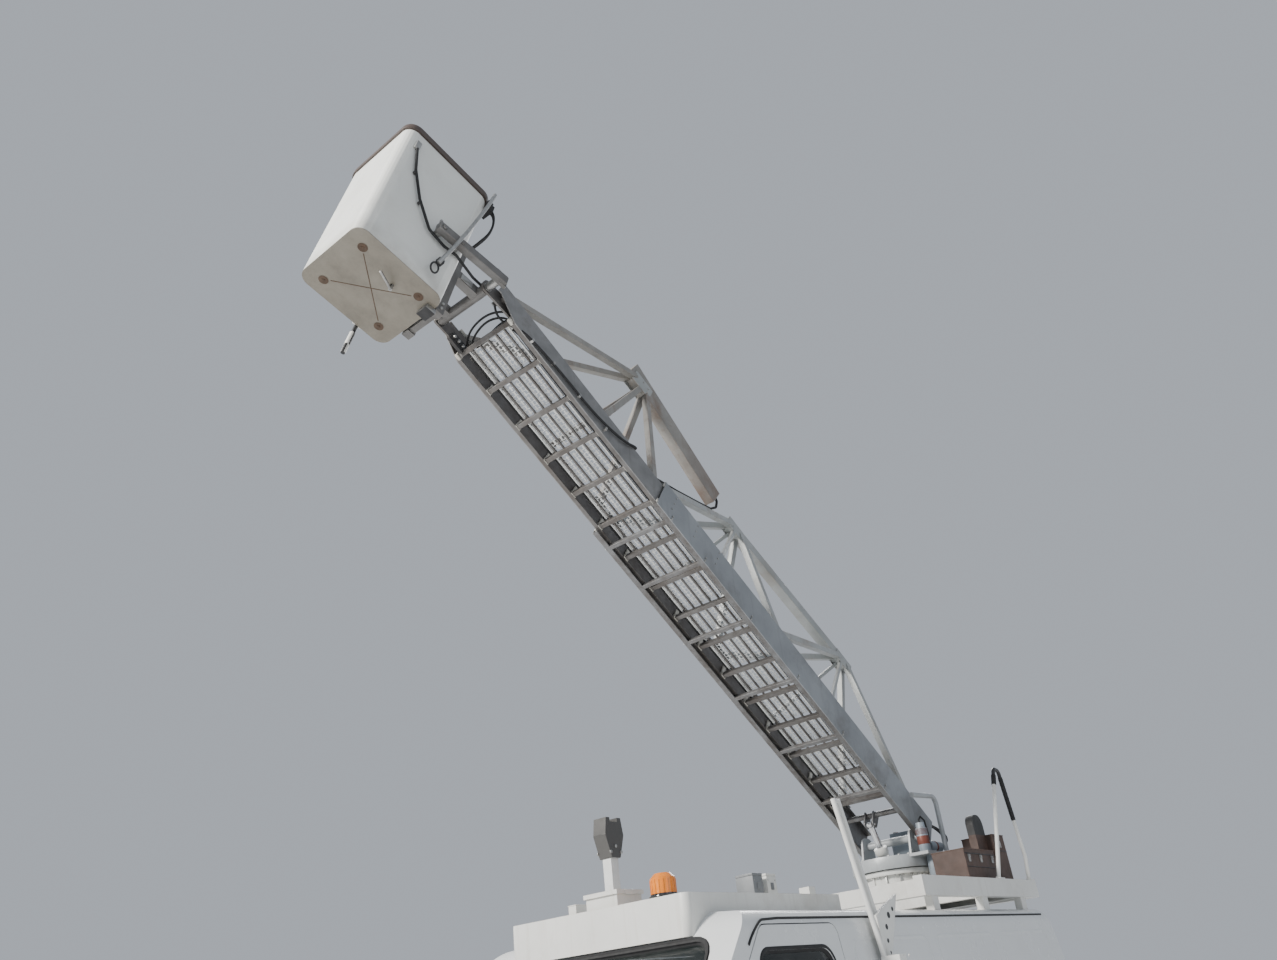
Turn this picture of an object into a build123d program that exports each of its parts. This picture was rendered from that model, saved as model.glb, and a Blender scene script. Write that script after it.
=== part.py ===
from build123d import *
import os
from math import cos, radians, sin

os.makedirs("parts", exist_ok=True)

# A full-size cargo van that carries a two-section telescopic bucket lift.
# Millimetres. X points to the front, Y to the left, Z up, with the ground at Z = 0
# and X = 0 at half the length of the bodywork.

# Bodywork
body_half_length = 2800
body_half_width = 1005
roof_height = 2085
roof_edge_height = 2030
roof_edge_half_width = 890
belt_height = 1260
belt_half_width = 975
sill_height = 470
sill_half_width = 985
waist_height = 900
cowl_x = 1985
cowl_height = 1265
screen_top_x = 1165
hood_front_x = 2700
hood_front_height = cowl_height - 155
wall = 55
panel_wall = 26
glass_thickness = 6
glass_inset = 18
glass_lap = 14
gap = 6
floor_height = 700
floor_thickness = 60
firewall_x = 1790

# Running gear
wheelbase = 3430
front_axle_x = 1930
tyre_radius = 387
tyre_width = 240
rim_radius = 208
half_track = 865
arch_radius = 448
arch_depth = 455
stub_end = 887
kingpin_offset = 62
frame_half_width = 430
frame_rail_width = 70
frame_rail_height = 150

# Turret
slew_x = -2200
drum_radius = 262
drum_bore = 207
drum_bottom = 2110
drum_top = 2412
anchor_z = 2192
anchor_radius = 15
barrel_radius = 45
barrel_length = 450
cylinder_rod_radius = 25
column_radius = 150
disc_radius = 320
disc_bottom = 2418
disc_top = 2508
pin_radius = 30
cheek_y = 208
cheek_thickness = 16

# Boom, measured from the lift pin along the boom and square to it
pin_x = -2240
pin_z = 2642
boom_angle = 34.6
rail_half_width = 297
rail_height = 243
rail_drop = 35
rail_wall = 8
rail_flange = 46
tail_overhang = 100
base_length = 3550
fly_clearance = 14
fly_rear = 370
fly_reach = 5270
fly_flange = 36
rung_pitch = 305
rung_size = 32
ridge_size = 76
leg_size = 46
thin_leg_size = 26

# Bucket
bucket_tilt = 19.5
bucket_width = 624
bucket_depth = 676
bucket_height = 1100
bucket_taper = 0.94
bucket_wall = 9
bucket_corner = 75

# Named places that several pieces share
rear_axle_x = front_axle_x - wheelbase
underfloor = floor_height - floor_thickness
hub_height = tyre_radius


# Boom frame: s runs along the boom from the lift pin, c to the left, n square to the deck.
boom_dir = Vector(cos(radians(boom_angle)), 0, sin(radians(boom_angle)))
boom_up = Vector(-sin(radians(boom_angle)), 0, cos(radians(boom_angle)))
lift_pin = Vector(pin_x, 0, pin_z)


def boom_point(s, c, n):
    """A point given along, across and square to the boom."""
    return lift_pin + boom_dir * s + Vector(0, c, 0) + boom_up * n


def boom_deck(n):
    """A plane parallel to the boom's deck, with X along the boom."""
    return Plane(origin=boom_point(0, 0, n), x_dir=boom_dir, z_dir=boom_up)


def boom_section(s):
    """A plane square to the boom, with X to the left and Y square to the deck."""
    return Plane(origin=boom_point(s, 0, 0), x_dir=(0, 1, 0), z_dir=boom_dir)


def bar(start, end, width, depth):
    """A straight rectangular tube between two points, added to the open part."""
    run = end - start
    with BuildSketch(Plane(origin=start, x_dir=(0, 1, 0), z_dir=run)) as section:
        Rectangle(width, depth)
    extrude(section.sketch, amount=run.length)


def rod(start, end, radius):
    """A straight round bar between two points, added to the open part."""
    run = end - start
    with BuildSketch(Plane(origin=start, z_dir=run)) as section:
        Circle(radius)
    extrude(section.sketch, amount=run.length)


def bent_tube(points, bend, radius):
    """A round tube that follows straight runs joined by bends, added to the open part."""
    with BuildLine() as path:
        FilletPolyline(*points, radius=bend)
    with BuildSketch(Plane(origin=path.line @ 0, z_dir=path.line % 0)) as section:
        Circle(radius)
    sweep(section.sketch, path=path.line)


def closed_profile(plane, table, inset=0):
    """A flat outline from rows of two coordinates and a corner radius, drawn inset."""
    with BuildSketch(plane) as profile:
        with BuildLine():
            FilletPolyline(*[row[:2] for row in table], radius=[row[2] for row in table], close=True)
        make_face()
        if inset:
            offset(amount=-inset, kind=Kind.INTERSECTION)
    return profile.sketch


def mirrored_rows(rows):
    """Rows for a symmetric outline: the given left half, then its mirror in reverse."""
    return rows + [(-across, up, radius) for across, up, radius in reversed(rows)]


# Outlines of the bodywork. Columns: coordinate, coordinate, corner radius.
# They run on below the sills, so that an inset form stays open underneath.
skirt_depth = sill_height - 250
side_table = [
    (-body_half_length + 15, skirt_depth, 0),
    (-body_half_length, waist_height, 0),
    (-body_half_length + 60, roof_height, 150),
    (screen_top_x, roof_height, 420),
    (cowl_x, cowl_height, 40),
    (hood_front_x, hood_front_height, 120),
    (body_half_length, waist_height + 20, 60),
    (body_half_length, skirt_depth, 0),
]
end_table = mirrored_rows([
    (sill_half_width, skirt_depth, 0),
    (body_half_width, waist_height, 0),
    (belt_half_width, belt_height, 60),
    (roof_edge_half_width, roof_edge_height, 110),
    (roof_edge_half_width / 2, roof_height - 12, 0),
])
nose_table = mirrored_rows([
    (sill_half_width - 10, 0, 0),
    (body_half_width - 5, waist_height, 0),
    (belt_half_width + 8, belt_height - 130, 130),
    (belt_half_width - 130, cowl_height + 15, 60),
])
plan_table = mirrored_rows([
    (body_half_width, -body_half_length - 5, 90),
    (body_half_width, cowl_x + 250, 0),
    (body_half_width - 90, hood_front_x - 30, 150),
    (body_half_width - 420, body_half_length, 120),
])
nose_fall = 0.2
nose_start = cowl_x - 90


def bodywork(inset):
    """The closed form of the whole body, drawn the stated distance inside the skin."""
    with BuildPart() as cabin:
        extrude(closed_profile(Plane.XZ, side_table, inset), amount=2 * body_half_width, both=True)
        extrude(
            closed_profile(Plane.YZ, end_table, inset),
            amount=2 * body_half_length,
            both=True,
            mode=Mode.INTERSECT,
        )
        with BuildSketch(Plane.YZ.offset(cowl_x)):
            Rectangle(2 * body_half_width, 3 * roof_height)
        extrude(amount=-2 * cowl_x - 3 * body_half_length, mode=Mode.INTERSECT)
    with BuildPart() as nose:
        extrude(
            closed_profile(Plane.YZ.offset(nose_start), nose_table, inset),
            amount=body_half_length,
            dir=(1, 0, -nose_fall),
        )
        extrude(
            closed_profile(Plane.XZ, side_table, inset),
            amount=2 * body_half_width,
            both=True,
            mode=Mode.INTERSECT,
        )
    with BuildPart() as form:
        add(cabin.part)
        add(nose.part)
        plan = [(x, y, radius) for y, x, radius in plan_table]
        extrude(closed_profile(Plane.XY, plan, inset), amount=roof_height * 2, mode=Mode.INTERSECT)
    return form.part


with BuildPart() as skin:
    add(bodywork(0))
    with BuildSketch(Plane.XY.offset(sill_height)):
        Rectangle(4 * body_half_length, 4 * body_half_width)
    extrude(amount=2 * roof_height, mode=Mode.INTERSECT)
skin_form = skin.part
inner_form = bodywork(wall)
panel_form = bodywork(panel_wall)
glass_outer_form = bodywork(glass_inset)
glass_inner_form = bodywork(glass_inset + glass_thickness)
deep = 3000


def panel(table, plane, inside, depth=deep, grow=0.0):
    """A piece of the skin, from its outer face in to the given form, cut to an outline."""
    with BuildPart() as piece:
        extrude(closed_profile(plane, table, -grow), amount=depth)
        add(skin_form, mode=Mode.INTERSECT)
        add(inside, mode=Mode.SUBTRACT)
    return piece.part


def pane(table, plane, depth=deep):
    """A glass pane that follows the skin a little inside it, lapped behind its opening."""
    with BuildPart() as piece:
        extrude(closed_profile(plane, table, -glass_lap), amount=depth)
        add(glass_outer_form, mode=Mode.INTERSECT)
        add(glass_inner_form, mode=Mode.SUBTRACT)
    return piece.part


rear_view = Plane(origin=(-body_half_length + 160, 0, 0), x_dir=(0, 1, 0), z_dir=(1, 0, 0))

# Outlines of doors and windows. Columns: x or y, z, corner radius.
door_rear_x = 430
door_front_x = 1478
door_sill = 520
door_head = 1962
pillar_line = cowl_x + cowl_height - 150
front_door_table = [
    (door_rear_x, door_sill, 60),
    (door_front_x, door_sill, 20),
    (door_front_x, pillar_line - door_front_x, 60),
    (pillar_line - door_head, door_head, 90),
    (door_rear_x, door_head, 60),
]
window_sill = cowl_height + 25
door_window_table = [
    (door_rear_x + 100, window_sill, 70),
    (door_front_x - 70, window_sill, 50),
    (pillar_line - door_head + 40, door_head - 115, 90),
    (door_rear_x + 100, door_head - 115, 90),
]
screen_bottom = cowl_height + 70
screen_top = 1925
screen_table = mirrored_rows([
    (belt_half_width - 165, screen_bottom, 90),
    (roof_edge_half_width - 150, screen_top, 110),
])
side_door_front_x = 372
side_door_split_x = -240
side_door_rear_x = -640
leaf_gap = 10
leaf_cutback = 24
side_front_table = [
    (side_door_split_x + leaf_gap / 2, door_sill, 0),
    (side_door_front_x, door_sill, 50),
    (side_door_front_x, door_head, 60),
    (side_door_split_x + leaf_gap / 2, door_head, 0),
]
side_rear_table = [
    (side_door_rear_x, door_sill, 50),
    (side_door_split_x - leaf_gap / 2, door_sill, 0),
    (side_door_split_x - leaf_gap / 2, door_head, 0),
    (side_door_rear_x, door_head, 60),
]
rear_door_half = 800
rear_door_sill = 568
rear_left_table = [
    (gap, rear_door_sill, 0),
    (rear_door_half, rear_door_sill, 50),
    (rear_door_half - 30, door_head, 90),
    (gap, door_head, 0),
]
rear_window_table = [
    (120, 1310, 70),
    (rear_door_half - 110, 1310, 70),
    (rear_door_half - 130, door_head - 130, 80),
    (120, door_head - 130, 80),
]
hood_table = [
    (cowl_x + 12, -760, 60),
    (hood_front_x - 20, -700, 120),
    (hood_front_x - 20, 700, 120),
    (cowl_x + 12, 760, 60),
]


# Front doors, hollow as far as their windows, with the glass run in a slot.
def front_door(plane, depth):
    """One front door and its pane, cut from the skin."""
    glass = pane(door_window_table, plane, depth)
    with BuildPart() as door:
        add(panel(front_door_table, plane, inner_form, depth))
        extrude(closed_profile(plane, door_window_table), amount=depth, mode=Mode.SUBTRACT)
        add(glass, mode=Mode.SUBTRACT)
    return door.part, glass


left_out = Plane(origin=(0, 500, 0), x_dir=(1, 0, 0), z_dir=(0, -1, 0))
door_solid, door_glass = front_door(left_out, -deep)
with BuildPart() as front_left_door:
    add(door_solid)
with BuildPart() as front_left_glass:
    add(door_glass)
with BuildPart() as front_right_door:
    mirror(door_solid, about=Plane.XZ)
with BuildPart() as front_right_glass:
    mirror(door_glass, about=Plane.XZ)

# Door mirrors on the corner of each front door: an arm and a tall rounded head.
mirror_x = door_front_x - 120
mirror_z = cowl_height + 135
mirror_reach = 210
with BuildPart() as left_mirror:
    with BuildSketch(Plane.XZ.offset(-(belt_half_width - 20))):
        with Locations((mirror_x, mirror_z - 60)):
            RectangleRounded(90, 120, 20)
    extrude(amount=-95)
    with BuildSketch(Plane.XZ.offset(-(body_half_width + 40))):
        with Locations((mirror_x, mirror_z)):
            RectangleRounded(110, 300, 40)
    extrude(amount=-mirror_reach)
    chamfer(left_mirror.edges().group_by(Axis.Y)[-1], length=18)
    add(skin_form, mode=Mode.SUBTRACT)
with BuildPart() as right_mirror:
    mirror(left_mirror.part, about=Plane.XZ)

# Side load doors: two leaves on the right, hinged at their outer edges. Behind the outer
# skin both are cut back where they meet, so that each swings clear of the other.
right_out = Plane(origin=(0, -500, 0), x_dir=(1, 0, 0), z_dir=(0, -1, 0))
with BuildPart() as leaf_room:
    with BuildSketch(Plane.XY.offset(door_sill - gap)):
        with Locations((side_door_split_x, -body_half_width)):
            Rectangle(leaf_gap + 2 * leaf_cutback, body_half_width)
    extrude(amount=deep)
    add(glass_outer_form, mode=Mode.INTERSECT)
with BuildPart() as side_front_door:
    add(panel(side_front_table, right_out, inner_form))
    add(leaf_room.part, mode=Mode.SUBTRACT)
with BuildPart() as side_rear_door:
    add(panel(side_rear_table, right_out, inner_form))
    add(leaf_room.part, mode=Mode.SUBTRACT)

# Rear doors: two leaves with a window each.
rear_glass = pane(rear_window_table, rear_view, -deep)
with BuildPart() as rear_left_door:
    add(panel(rear_left_table, rear_view, inner_form, -deep))
    extrude(closed_profile(rear_view, rear_window_table), amount=-deep, mode=Mode.SUBTRACT)
    add(rear_glass, mode=Mode.SUBTRACT)
with BuildPart() as rear_left_glass:
    add(rear_glass)
with BuildPart() as rear_right_door:
    mirror(rear_left_door.part, about=Plane.XZ)
with BuildPart() as rear_right_glass:
    mirror(rear_glass, about=Plane.XZ)

# Rear ladder: two rails and rungs that stand off the left rear door.
ladder_inner_y = 430
ladder_outer_y = 755
ladder_off = 78
ladder_radius = 16
ladder_bottom = 700
ladder_top = 1940
ladder_steps = 4
with BuildPart() as rear_ladder:
    for side_y in (ladder_inner_y, ladder_outer_y):
        foot = Vector(-body_half_length - ladder_off, side_y, ladder_bottom)
        head_end = Vector(-body_half_length - ladder_off + 50, side_y, ladder_top)
        rod(foot, head_end, ladder_radius)
        for part_way in (0.03, 0.97):
            at = foot + (head_end - foot) * part_way
            rod(at, at + Vector(ladder_off + 60, 0, 0), ladder_radius - 3)
    for step in range(ladder_steps):
        part_way = (step + 0.6) / ladder_steps
        at = Vector(-body_half_length - ladder_off + 50 * part_way, ladder_inner_y,
                    ladder_bottom + (ladder_top - ladder_bottom) * part_way)
        rod(at, at + Vector(0, ladder_outer_y - ladder_inner_y, 0), ladder_radius - 2)
    add(skin_form, mode=Mode.SUBTRACT)

# Hood, a single skin between the screen and the grille.
with BuildPart() as hood:
    extrude(closed_profile(Plane.XY.offset(sill_height + 300), hood_table), amount=deep)
    add(skin_form, mode=Mode.INTERSECT)
    add(panel_form, mode=Mode.SUBTRACT)
    with BuildSketch(Plane.XY):
        Rectangle(4 * body_half_length, 4 * body_half_length)
    extrude(amount=hood_front_height - 160, mode=Mode.SUBTRACT)

# Windshield
with BuildPart() as windshield:
    add(pane(screen_table, Plane.YZ.offset(screen_top_x - 160)))

# Nose openings that the grille and the lamps fill
grille_half_width = 560
grille_bottom = 690
grille_top = 985
lamp_inner_y = 585
lamp_outer_y = 860
lamp_bottom = 760
lamp_top = 965
tail_lamp_y = 905
tail_lamp_width = 110
tail_lamp_bottom = 1020
tail_lamp_height = 330
nose_depth = 90
with BuildPart() as grille_block:
    with BuildSketch(Plane.YZ.offset(body_half_length - nose_depth)):
        with Locations((0, (grille_bottom + grille_top) / 2)):
            RectangleRounded(2 * grille_half_width, grille_top - grille_bottom, 30)
    extrude(amount=nose_depth + 40)
    add(skin_form, mode=Mode.INTERSECT)
with BuildPart() as lamp_block:
    for side in (1, -1):
        with BuildSketch(Plane.YZ.offset(body_half_length - 2 * nose_depth)):
            with Locations((side * (lamp_inner_y + lamp_outer_y) / 2, (lamp_bottom + lamp_top) / 2)):
                RectangleRounded(lamp_outer_y - lamp_inner_y, lamp_top - lamp_bottom, 30)
        extrude(amount=2 * nose_depth + 40)
    add(skin_form, mode=Mode.INTERSECT)
with BuildPart() as tail_lamp_block:
    for side in (1, -1):
        with BuildSketch(Plane.YZ.offset(-body_half_length - 8)):
            with Locations((side * tail_lamp_y, tail_lamp_bottom + tail_lamp_height / 2)):
                RectangleRounded(tail_lamp_width, tail_lamp_height, 20)
        extrude(amount=66)

# Bumpers
bumper_top = 660
bumper_bottom = 430
bumper_out = 42
with BuildPart() as front_bumper:
    plan = [(x, y, radius) for y, x, radius in plan_table]
    extrude(closed_profile(Plane.XY.offset(bumper_bottom), plan, -bumper_out), amount=bumper_top - bumper_bottom)
    extrude(
        closed_profile(Plane.XY.offset(bumper_bottom), plan, 0.3),
        amount=bumper_top - bumper_bottom,
        mode=Mode.SUBTRACT,
    )
    with BuildSketch(Plane.YZ.offset(front_axle_x + arch_radius + 55)):
        Rectangle(4 * body_half_width, 4 * body_half_width)
    extrude(amount=deep, mode=Mode.INTERSECT)
    with BuildSketch(Plane.YZ.offset(body_half_length - 140)):
        with Locations((0, (bumper_bottom + sill_height) / 2 + 30)):
            Rectangle(2 * frame_half_width + 260, 60)
    extrude(amount=150)

hitch_radius = 12.8
bumper_depth = 150
rear_bumper_top = 545
rear_bumper_height = 110
tread_thickness = 30
with BuildPart() as rear_bumper:
    with BuildSketch(Plane.XY.offset(rear_bumper_top - rear_bumper_height)):
        with Locations((-body_half_length - bumper_depth / 2 + 22, 0)):
            RectangleRounded(bumper_depth, 1900, 30)
    extrude(amount=rear_bumper_height)
    with BuildSketch(Plane.XY.offset(rear_bumper_top - rear_bumper_height)):
        with Locations((-body_half_length - bumper_depth / 2 + 22, 0)):
            Rectangle(bumper_depth - 24, 520)
    extrude(amount=rear_bumper_height - tread_thickness, mode=Mode.SUBTRACT)
    with BuildSketch(Plane.XY.offset(rear_bumper_top - tread_thickness)):
        with Locations((-body_half_length - bumper_depth / 2 + 22, 0)):
            Circle(hitch_radius)
    extrude(amount=tread_thickness, mode=Mode.SUBTRACT)
    for side in (1, -1):
        with BuildSketch(Plane.XY.offset(rear_bumper_top - rear_bumper_height)):
            with Locations((-body_half_length + 22 + 60, side * frame_half_width)):
                Rectangle(122, frame_rail_width)
        extrude(amount=rear_bumper_height - 20)

# Body shell: one skin, hollow inside, open underneath round the engine and the wheels.
wheel_centres = [
    (front_axle_x, 1),
    (front_axle_x, -1),
    (rear_axle_x, 1),
    (rear_axle_x, -1),
]
house_wall = 25
with BuildPart() as cavity:
    with BuildSketch(Plane.XY.offset(floor_height)):
        with Locations((firewall_x - 2 * body_half_length, 0)):
            Rectangle(4 * body_half_length, 4 * body_half_width)
    extrude(amount=deep)
    add(inner_form, mode=Mode.INTERSECT)
    for centre_x, side in wheel_centres:
        with BuildSketch(Plane.XZ.offset(-side * (body_half_width - arch_depth - house_wall))):
            with Locations((centre_x, hub_height)):
                Circle(arch_radius + house_wall)
        extrude(amount=-side * deep, mode=Mode.SUBTRACT)
with BuildPart() as engine_bay:
    with BuildSketch(Plane.XY.offset(-10)):
        with Locations(((firewall_x + wall + body_half_length - 2 * nose_depth) / 2, 0)):
            Rectangle(body_half_length - 2 * nose_depth - firewall_x - wall, 2 * body_half_width)
    extrude(amount=deep)
    add(panel_form, mode=Mode.INTERSECT)
    for centre_x, side in wheel_centres[:2]:
        with BuildSketch(Plane.XZ.offset(-side * (body_half_width - arch_depth - house_wall))):
            with Locations((centre_x, hub_height)):
                Circle(arch_radius + house_wall)
        extrude(amount=-side * deep, mode=Mode.SUBTRACT)
floor_half_width = 926
with BuildPart() as floor_plate:
    with BuildSketch(Plane.XY.offset(underfloor)):
        with Locations(((firewall_x + wall - body_half_length + 120) / 2, 0)):
            Rectangle(firewall_x + wall + body_half_length - 120, 2 * floor_half_width)
    extrude(amount=floor_thickness)
with BuildPart() as whole_shell:
    add(skin_form)
    add(cavity.part, mode=Mode.SUBTRACT)
    add(engine_bay.part, mode=Mode.SUBTRACT)
    with BuildSketch(Plane.XY.offset(sill_height - 50)):
        with Locations(((firewall_x + wall - 2 * body_half_length) / 2 - 200, 0)):
            Rectangle(2 * body_half_length + firewall_x + 400, 2 * body_half_width - 300)
    extrude(amount=underfloor - sill_height + 50, mode=Mode.SUBTRACT)
    extrude(closed_profile(left_out, front_door_table, -gap), amount=-deep, mode=Mode.SUBTRACT)
    extrude(closed_profile(right_out, front_door_table, -gap), amount=deep, mode=Mode.SUBTRACT)
    side_opening = [side_rear_table[0], side_front_table[1], side_front_table[2], side_rear_table[3]]
    extrude(closed_profile(right_out, side_opening, -gap), amount=deep, mode=Mode.SUBTRACT)
    rear_opening = mirrored_rows([rear_left_table[1], rear_left_table[2]])
    extrude(closed_profile(rear_view, rear_opening, -gap), amount=-deep, mode=Mode.SUBTRACT)
    add(floor_plate.part)
    for centre_x, side in wheel_centres:
        with BuildSketch(Plane.XZ.offset(-side * (body_half_width - arch_depth))):
            with Locations((centre_x, hub_height)):
                Circle(arch_radius)
        extrude(amount=-side * deep, mode=Mode.SUBTRACT)
    hood_room = [hood_table[0], (hood_front_x - 12, -700, 120), (hood_front_x - 12, 700, 120), hood_table[3]]
    extrude(closed_profile(Plane.XY.offset(hood_front_height - 160), hood_room, -gap), amount=deep, mode=Mode.SUBTRACT)
    screen_plane = Plane.YZ.offset(screen_top_x - 160)
    extrude(closed_profile(screen_plane, screen_table), amount=deep, mode=Mode.SUBTRACT)
    add(windshield.part, mode=Mode.SUBTRACT)
    add(grille_block.part, mode=Mode.SUBTRACT)
    add(lamp_block.part, mode=Mode.SUBTRACT)
    add(tail_lamp_block.part, mode=Mode.SUBTRACT)
    add(front_bumper.part, mode=Mode.SUBTRACT)
    add(rear_bumper.part, mode=Mode.SUBTRACT)
    with BuildSketch(Plane.XY.offset(sill_height - 50)):
        Rectangle(2 * body_half_length - 240, 2 * frame_half_width + frame_rail_width + 30)
        with Locations((front_axle_x, 0)):
            Rectangle(260, 1240)
    extrude(amount=underfloor - sill_height + 50, mode=Mode.SUBTRACT)
    with BuildSketch(Plane.XY.offset(floor_height + 1)):
        with Locations((slew_x, 0)):
            Circle(column_radius)
    extrude(amount=deep, mode=Mode.SUBTRACT)

# The floor with its wheel houses and the fenders round the engine bay are cut off as pieces.
house_top = hub_height + arch_radius + house_wall + 10
fender_top = cowl_height - 30
with BuildPart() as floor_region:
    with BuildSketch(Plane.XY.offset(underfloor - 10)):
        with Locations(((firewall_x - body_half_length + 120) / 2, 0)):
            Rectangle(firewall_x + body_half_length - 120, 2 * floor_half_width)
    extrude(amount=house_top - underfloor + 10)
with BuildPart() as nose_region:
    with BuildSketch(Plane.YZ.offset(firewall_x + wall)):
        with Locations((0, fender_top / 2)):
            Rectangle(4 * body_half_width, fender_top)
    extrude(amount=body_half_length)
with BuildPart() as floor_pan:
    add(whole_shell.part)
    add(floor_region.part, mode=Mode.INTERSECT)
with BuildPart() as front_clip:
    add(whole_shell.part)
    add(nose_region.part, mode=Mode.INTERSECT)
with BuildPart() as body_shell:
    add(whole_shell.part)
    add(floor_region.part, mode=Mode.SUBTRACT)
    add(nose_region.part, mode=Mode.SUBTRACT)

# Grille: a frame, bars across it and a bar down its middle.
grille_bars = 6
bar_height = 18
with BuildPart() as grille:
    add(grille_block.part)
    open_height = grille_top - grille_bottom - 60
    pitch = open_height / grille_bars
    with BuildSketch(Plane.YZ.offset(body_half_length - nose_depth + 30)):
        for side in (1, -1):
            for row in range(grille_bars):
                with Locations((side * grille_half_width / 2, grille_bottom + 30 + pitch * (row + 0.5))):
                    Rectangle(grille_half_width - 70, pitch - bar_height)
    extrude(amount=nose_depth + 60, mode=Mode.SUBTRACT)

with BuildPart() as head_lamps:
    add(lamp_block.part)
with BuildPart() as tail_lamps:
    add(tail_lamp_block.part)

# Chassis frame: two rails and the members that tie them.
frame_bottom = underfloor - frame_rail_height
cross_places = [-2560, -2080, -900, 300, 1200, 2560]
with BuildPart() as chassis_frame:
    for side in (1, -1):
        with BuildSketch(Plane.XY.offset(frame_bottom)):
            with Locations((0, side * frame_half_width)):
                Rectangle(2 * body_half_length - 300, frame_rail_width)
        extrude(amount=frame_rail_height)
    with BuildSketch(Plane.XY.offset(frame_bottom + 30)):
        for place in cross_places:
            with Locations((place, 0)):
                Rectangle(70, 2 * frame_half_width)
    extrude(amount=frame_rail_height - 60)

# Engine, one block between the frame rails with its gearbox behind it.
engine_length = 560
with BuildPart() as engine:
    with BuildSketch(Plane.XY.offset(frame_bottom + 20)):
        with Locations((firewall_x + wall + engine_length / 2 + 40, 0)):
            RectangleRounded(engine_length, 560, 60)
    extrude(amount=500)
    with BuildSketch(Plane.YZ.offset(firewall_x + wall + 45)):
        with Locations((0, underfloor - 140)):
            Circle(112)
    extrude(amount=-620)

# Drive shaft, exhaust and fuel tank under the floor.
shaft_radius = 38
shaft_z = underfloor - 190
exhaust_y = -270
exhaust_z = underfloor - 172
with BuildPart() as drive_line:
    rod(Vector(firewall_x - 530, 0, shaft_z), Vector(rear_axle_x + 124, 0, hub_height + 20), shaft_radius)
    with BuildSketch(Plane.YZ.offset(-600)):
        with Locations((exhaust_y, exhaust_z)):
            Ellipse(110, 75)
    extrude(amount=600)
    bent_tube(
        [
            (firewall_x - 600, exhaust_y, exhaust_z),
            (-1000, exhaust_y, exhaust_z),
            (-1180, exhaust_y, underfloor - 70),
            (-1780, exhaust_y, underfloor - 70),
            (-1960, exhaust_y, exhaust_z),
            (-2600, exhaust_y, exhaust_z),
        ],
        90,
        30,
    )
spring_length = 1350
tank_length = 1050
tank_x = rear_axle_x + (spring_length + tank_length) / 2 + 50
with BuildPart() as fuel_tank:
    with BuildSketch(Plane.XY.offset(underfloor - 270)):
        with Locations((tank_x, frame_half_width + frame_rail_width / 2 + 190)):
            RectangleRounded(tank_length, 340, 60)
    extrude(amount=262)
    chamfer(fuel_tank.edges().group_by(Axis.Z)[0], length=30)

# Front suspension: a cross member, two arms and a ball joint post each side.
knuckle_radius = 34
front_hub_y = half_track - kingpin_offset
with BuildPart() as front_suspension:
    with BuildSketch(Plane.XZ.offset(-390)):
        with Locations((front_axle_x, hub_height - 60)):
            RectangleRounded(240, 110, 30)
    extrude(amount=780)
    for side in (1, -1):
        for arm_z, inner_y in ((hub_height - 105, 360), (hub_height + 118, 478)):
            for splay in (-90, 90):
                bar(
                    Vector(front_axle_x + splay, side * inner_y, arm_z + 10),
                    Vector(front_axle_x, side * front_hub_y, arm_z),
                    40,
                    32,
                )
            with BuildSketch(Plane.XY.offset(arm_z - 16)):
                with Locations((front_axle_x, side * front_hub_y)):
                    Circle(34)
            extrude(amount=32)
        with BuildSketch(Plane.XZ.offset(-side * 375)):
            with Locations((front_axle_x, hub_height + 60)):
                Rectangle(200, 160)
        extrude(amount=side * 30)

# Steering knuckles: an upright between the ball joints and the wheel's stub.
knuckle_half = 82
rim_bore = 36
with BuildPart() as left_knuckle:
    with BuildSketch(Plane.XY.offset(hub_height - knuckle_half)):
        with Locations((front_axle_x, front_hub_y)):
            Circle(knuckle_radius)
    extrude(amount=2 * knuckle_half)
    with BuildSketch(Plane.XZ.offset(-front_hub_y)):
        with Locations((front_axle_x, hub_height)):
            Circle(rim_bore - 0.3)
    extrude(amount=-(stub_end - front_hub_y))
    bar(
        Vector(front_axle_x, front_hub_y, hub_height - 40),
        Vector(front_axle_x - 150, front_hub_y - 50, hub_height - 40),
        30,
        24,
    )
with BuildPart() as right_knuckle:
    mirror(left_knuckle.part, about=Plane.XZ)

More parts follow.
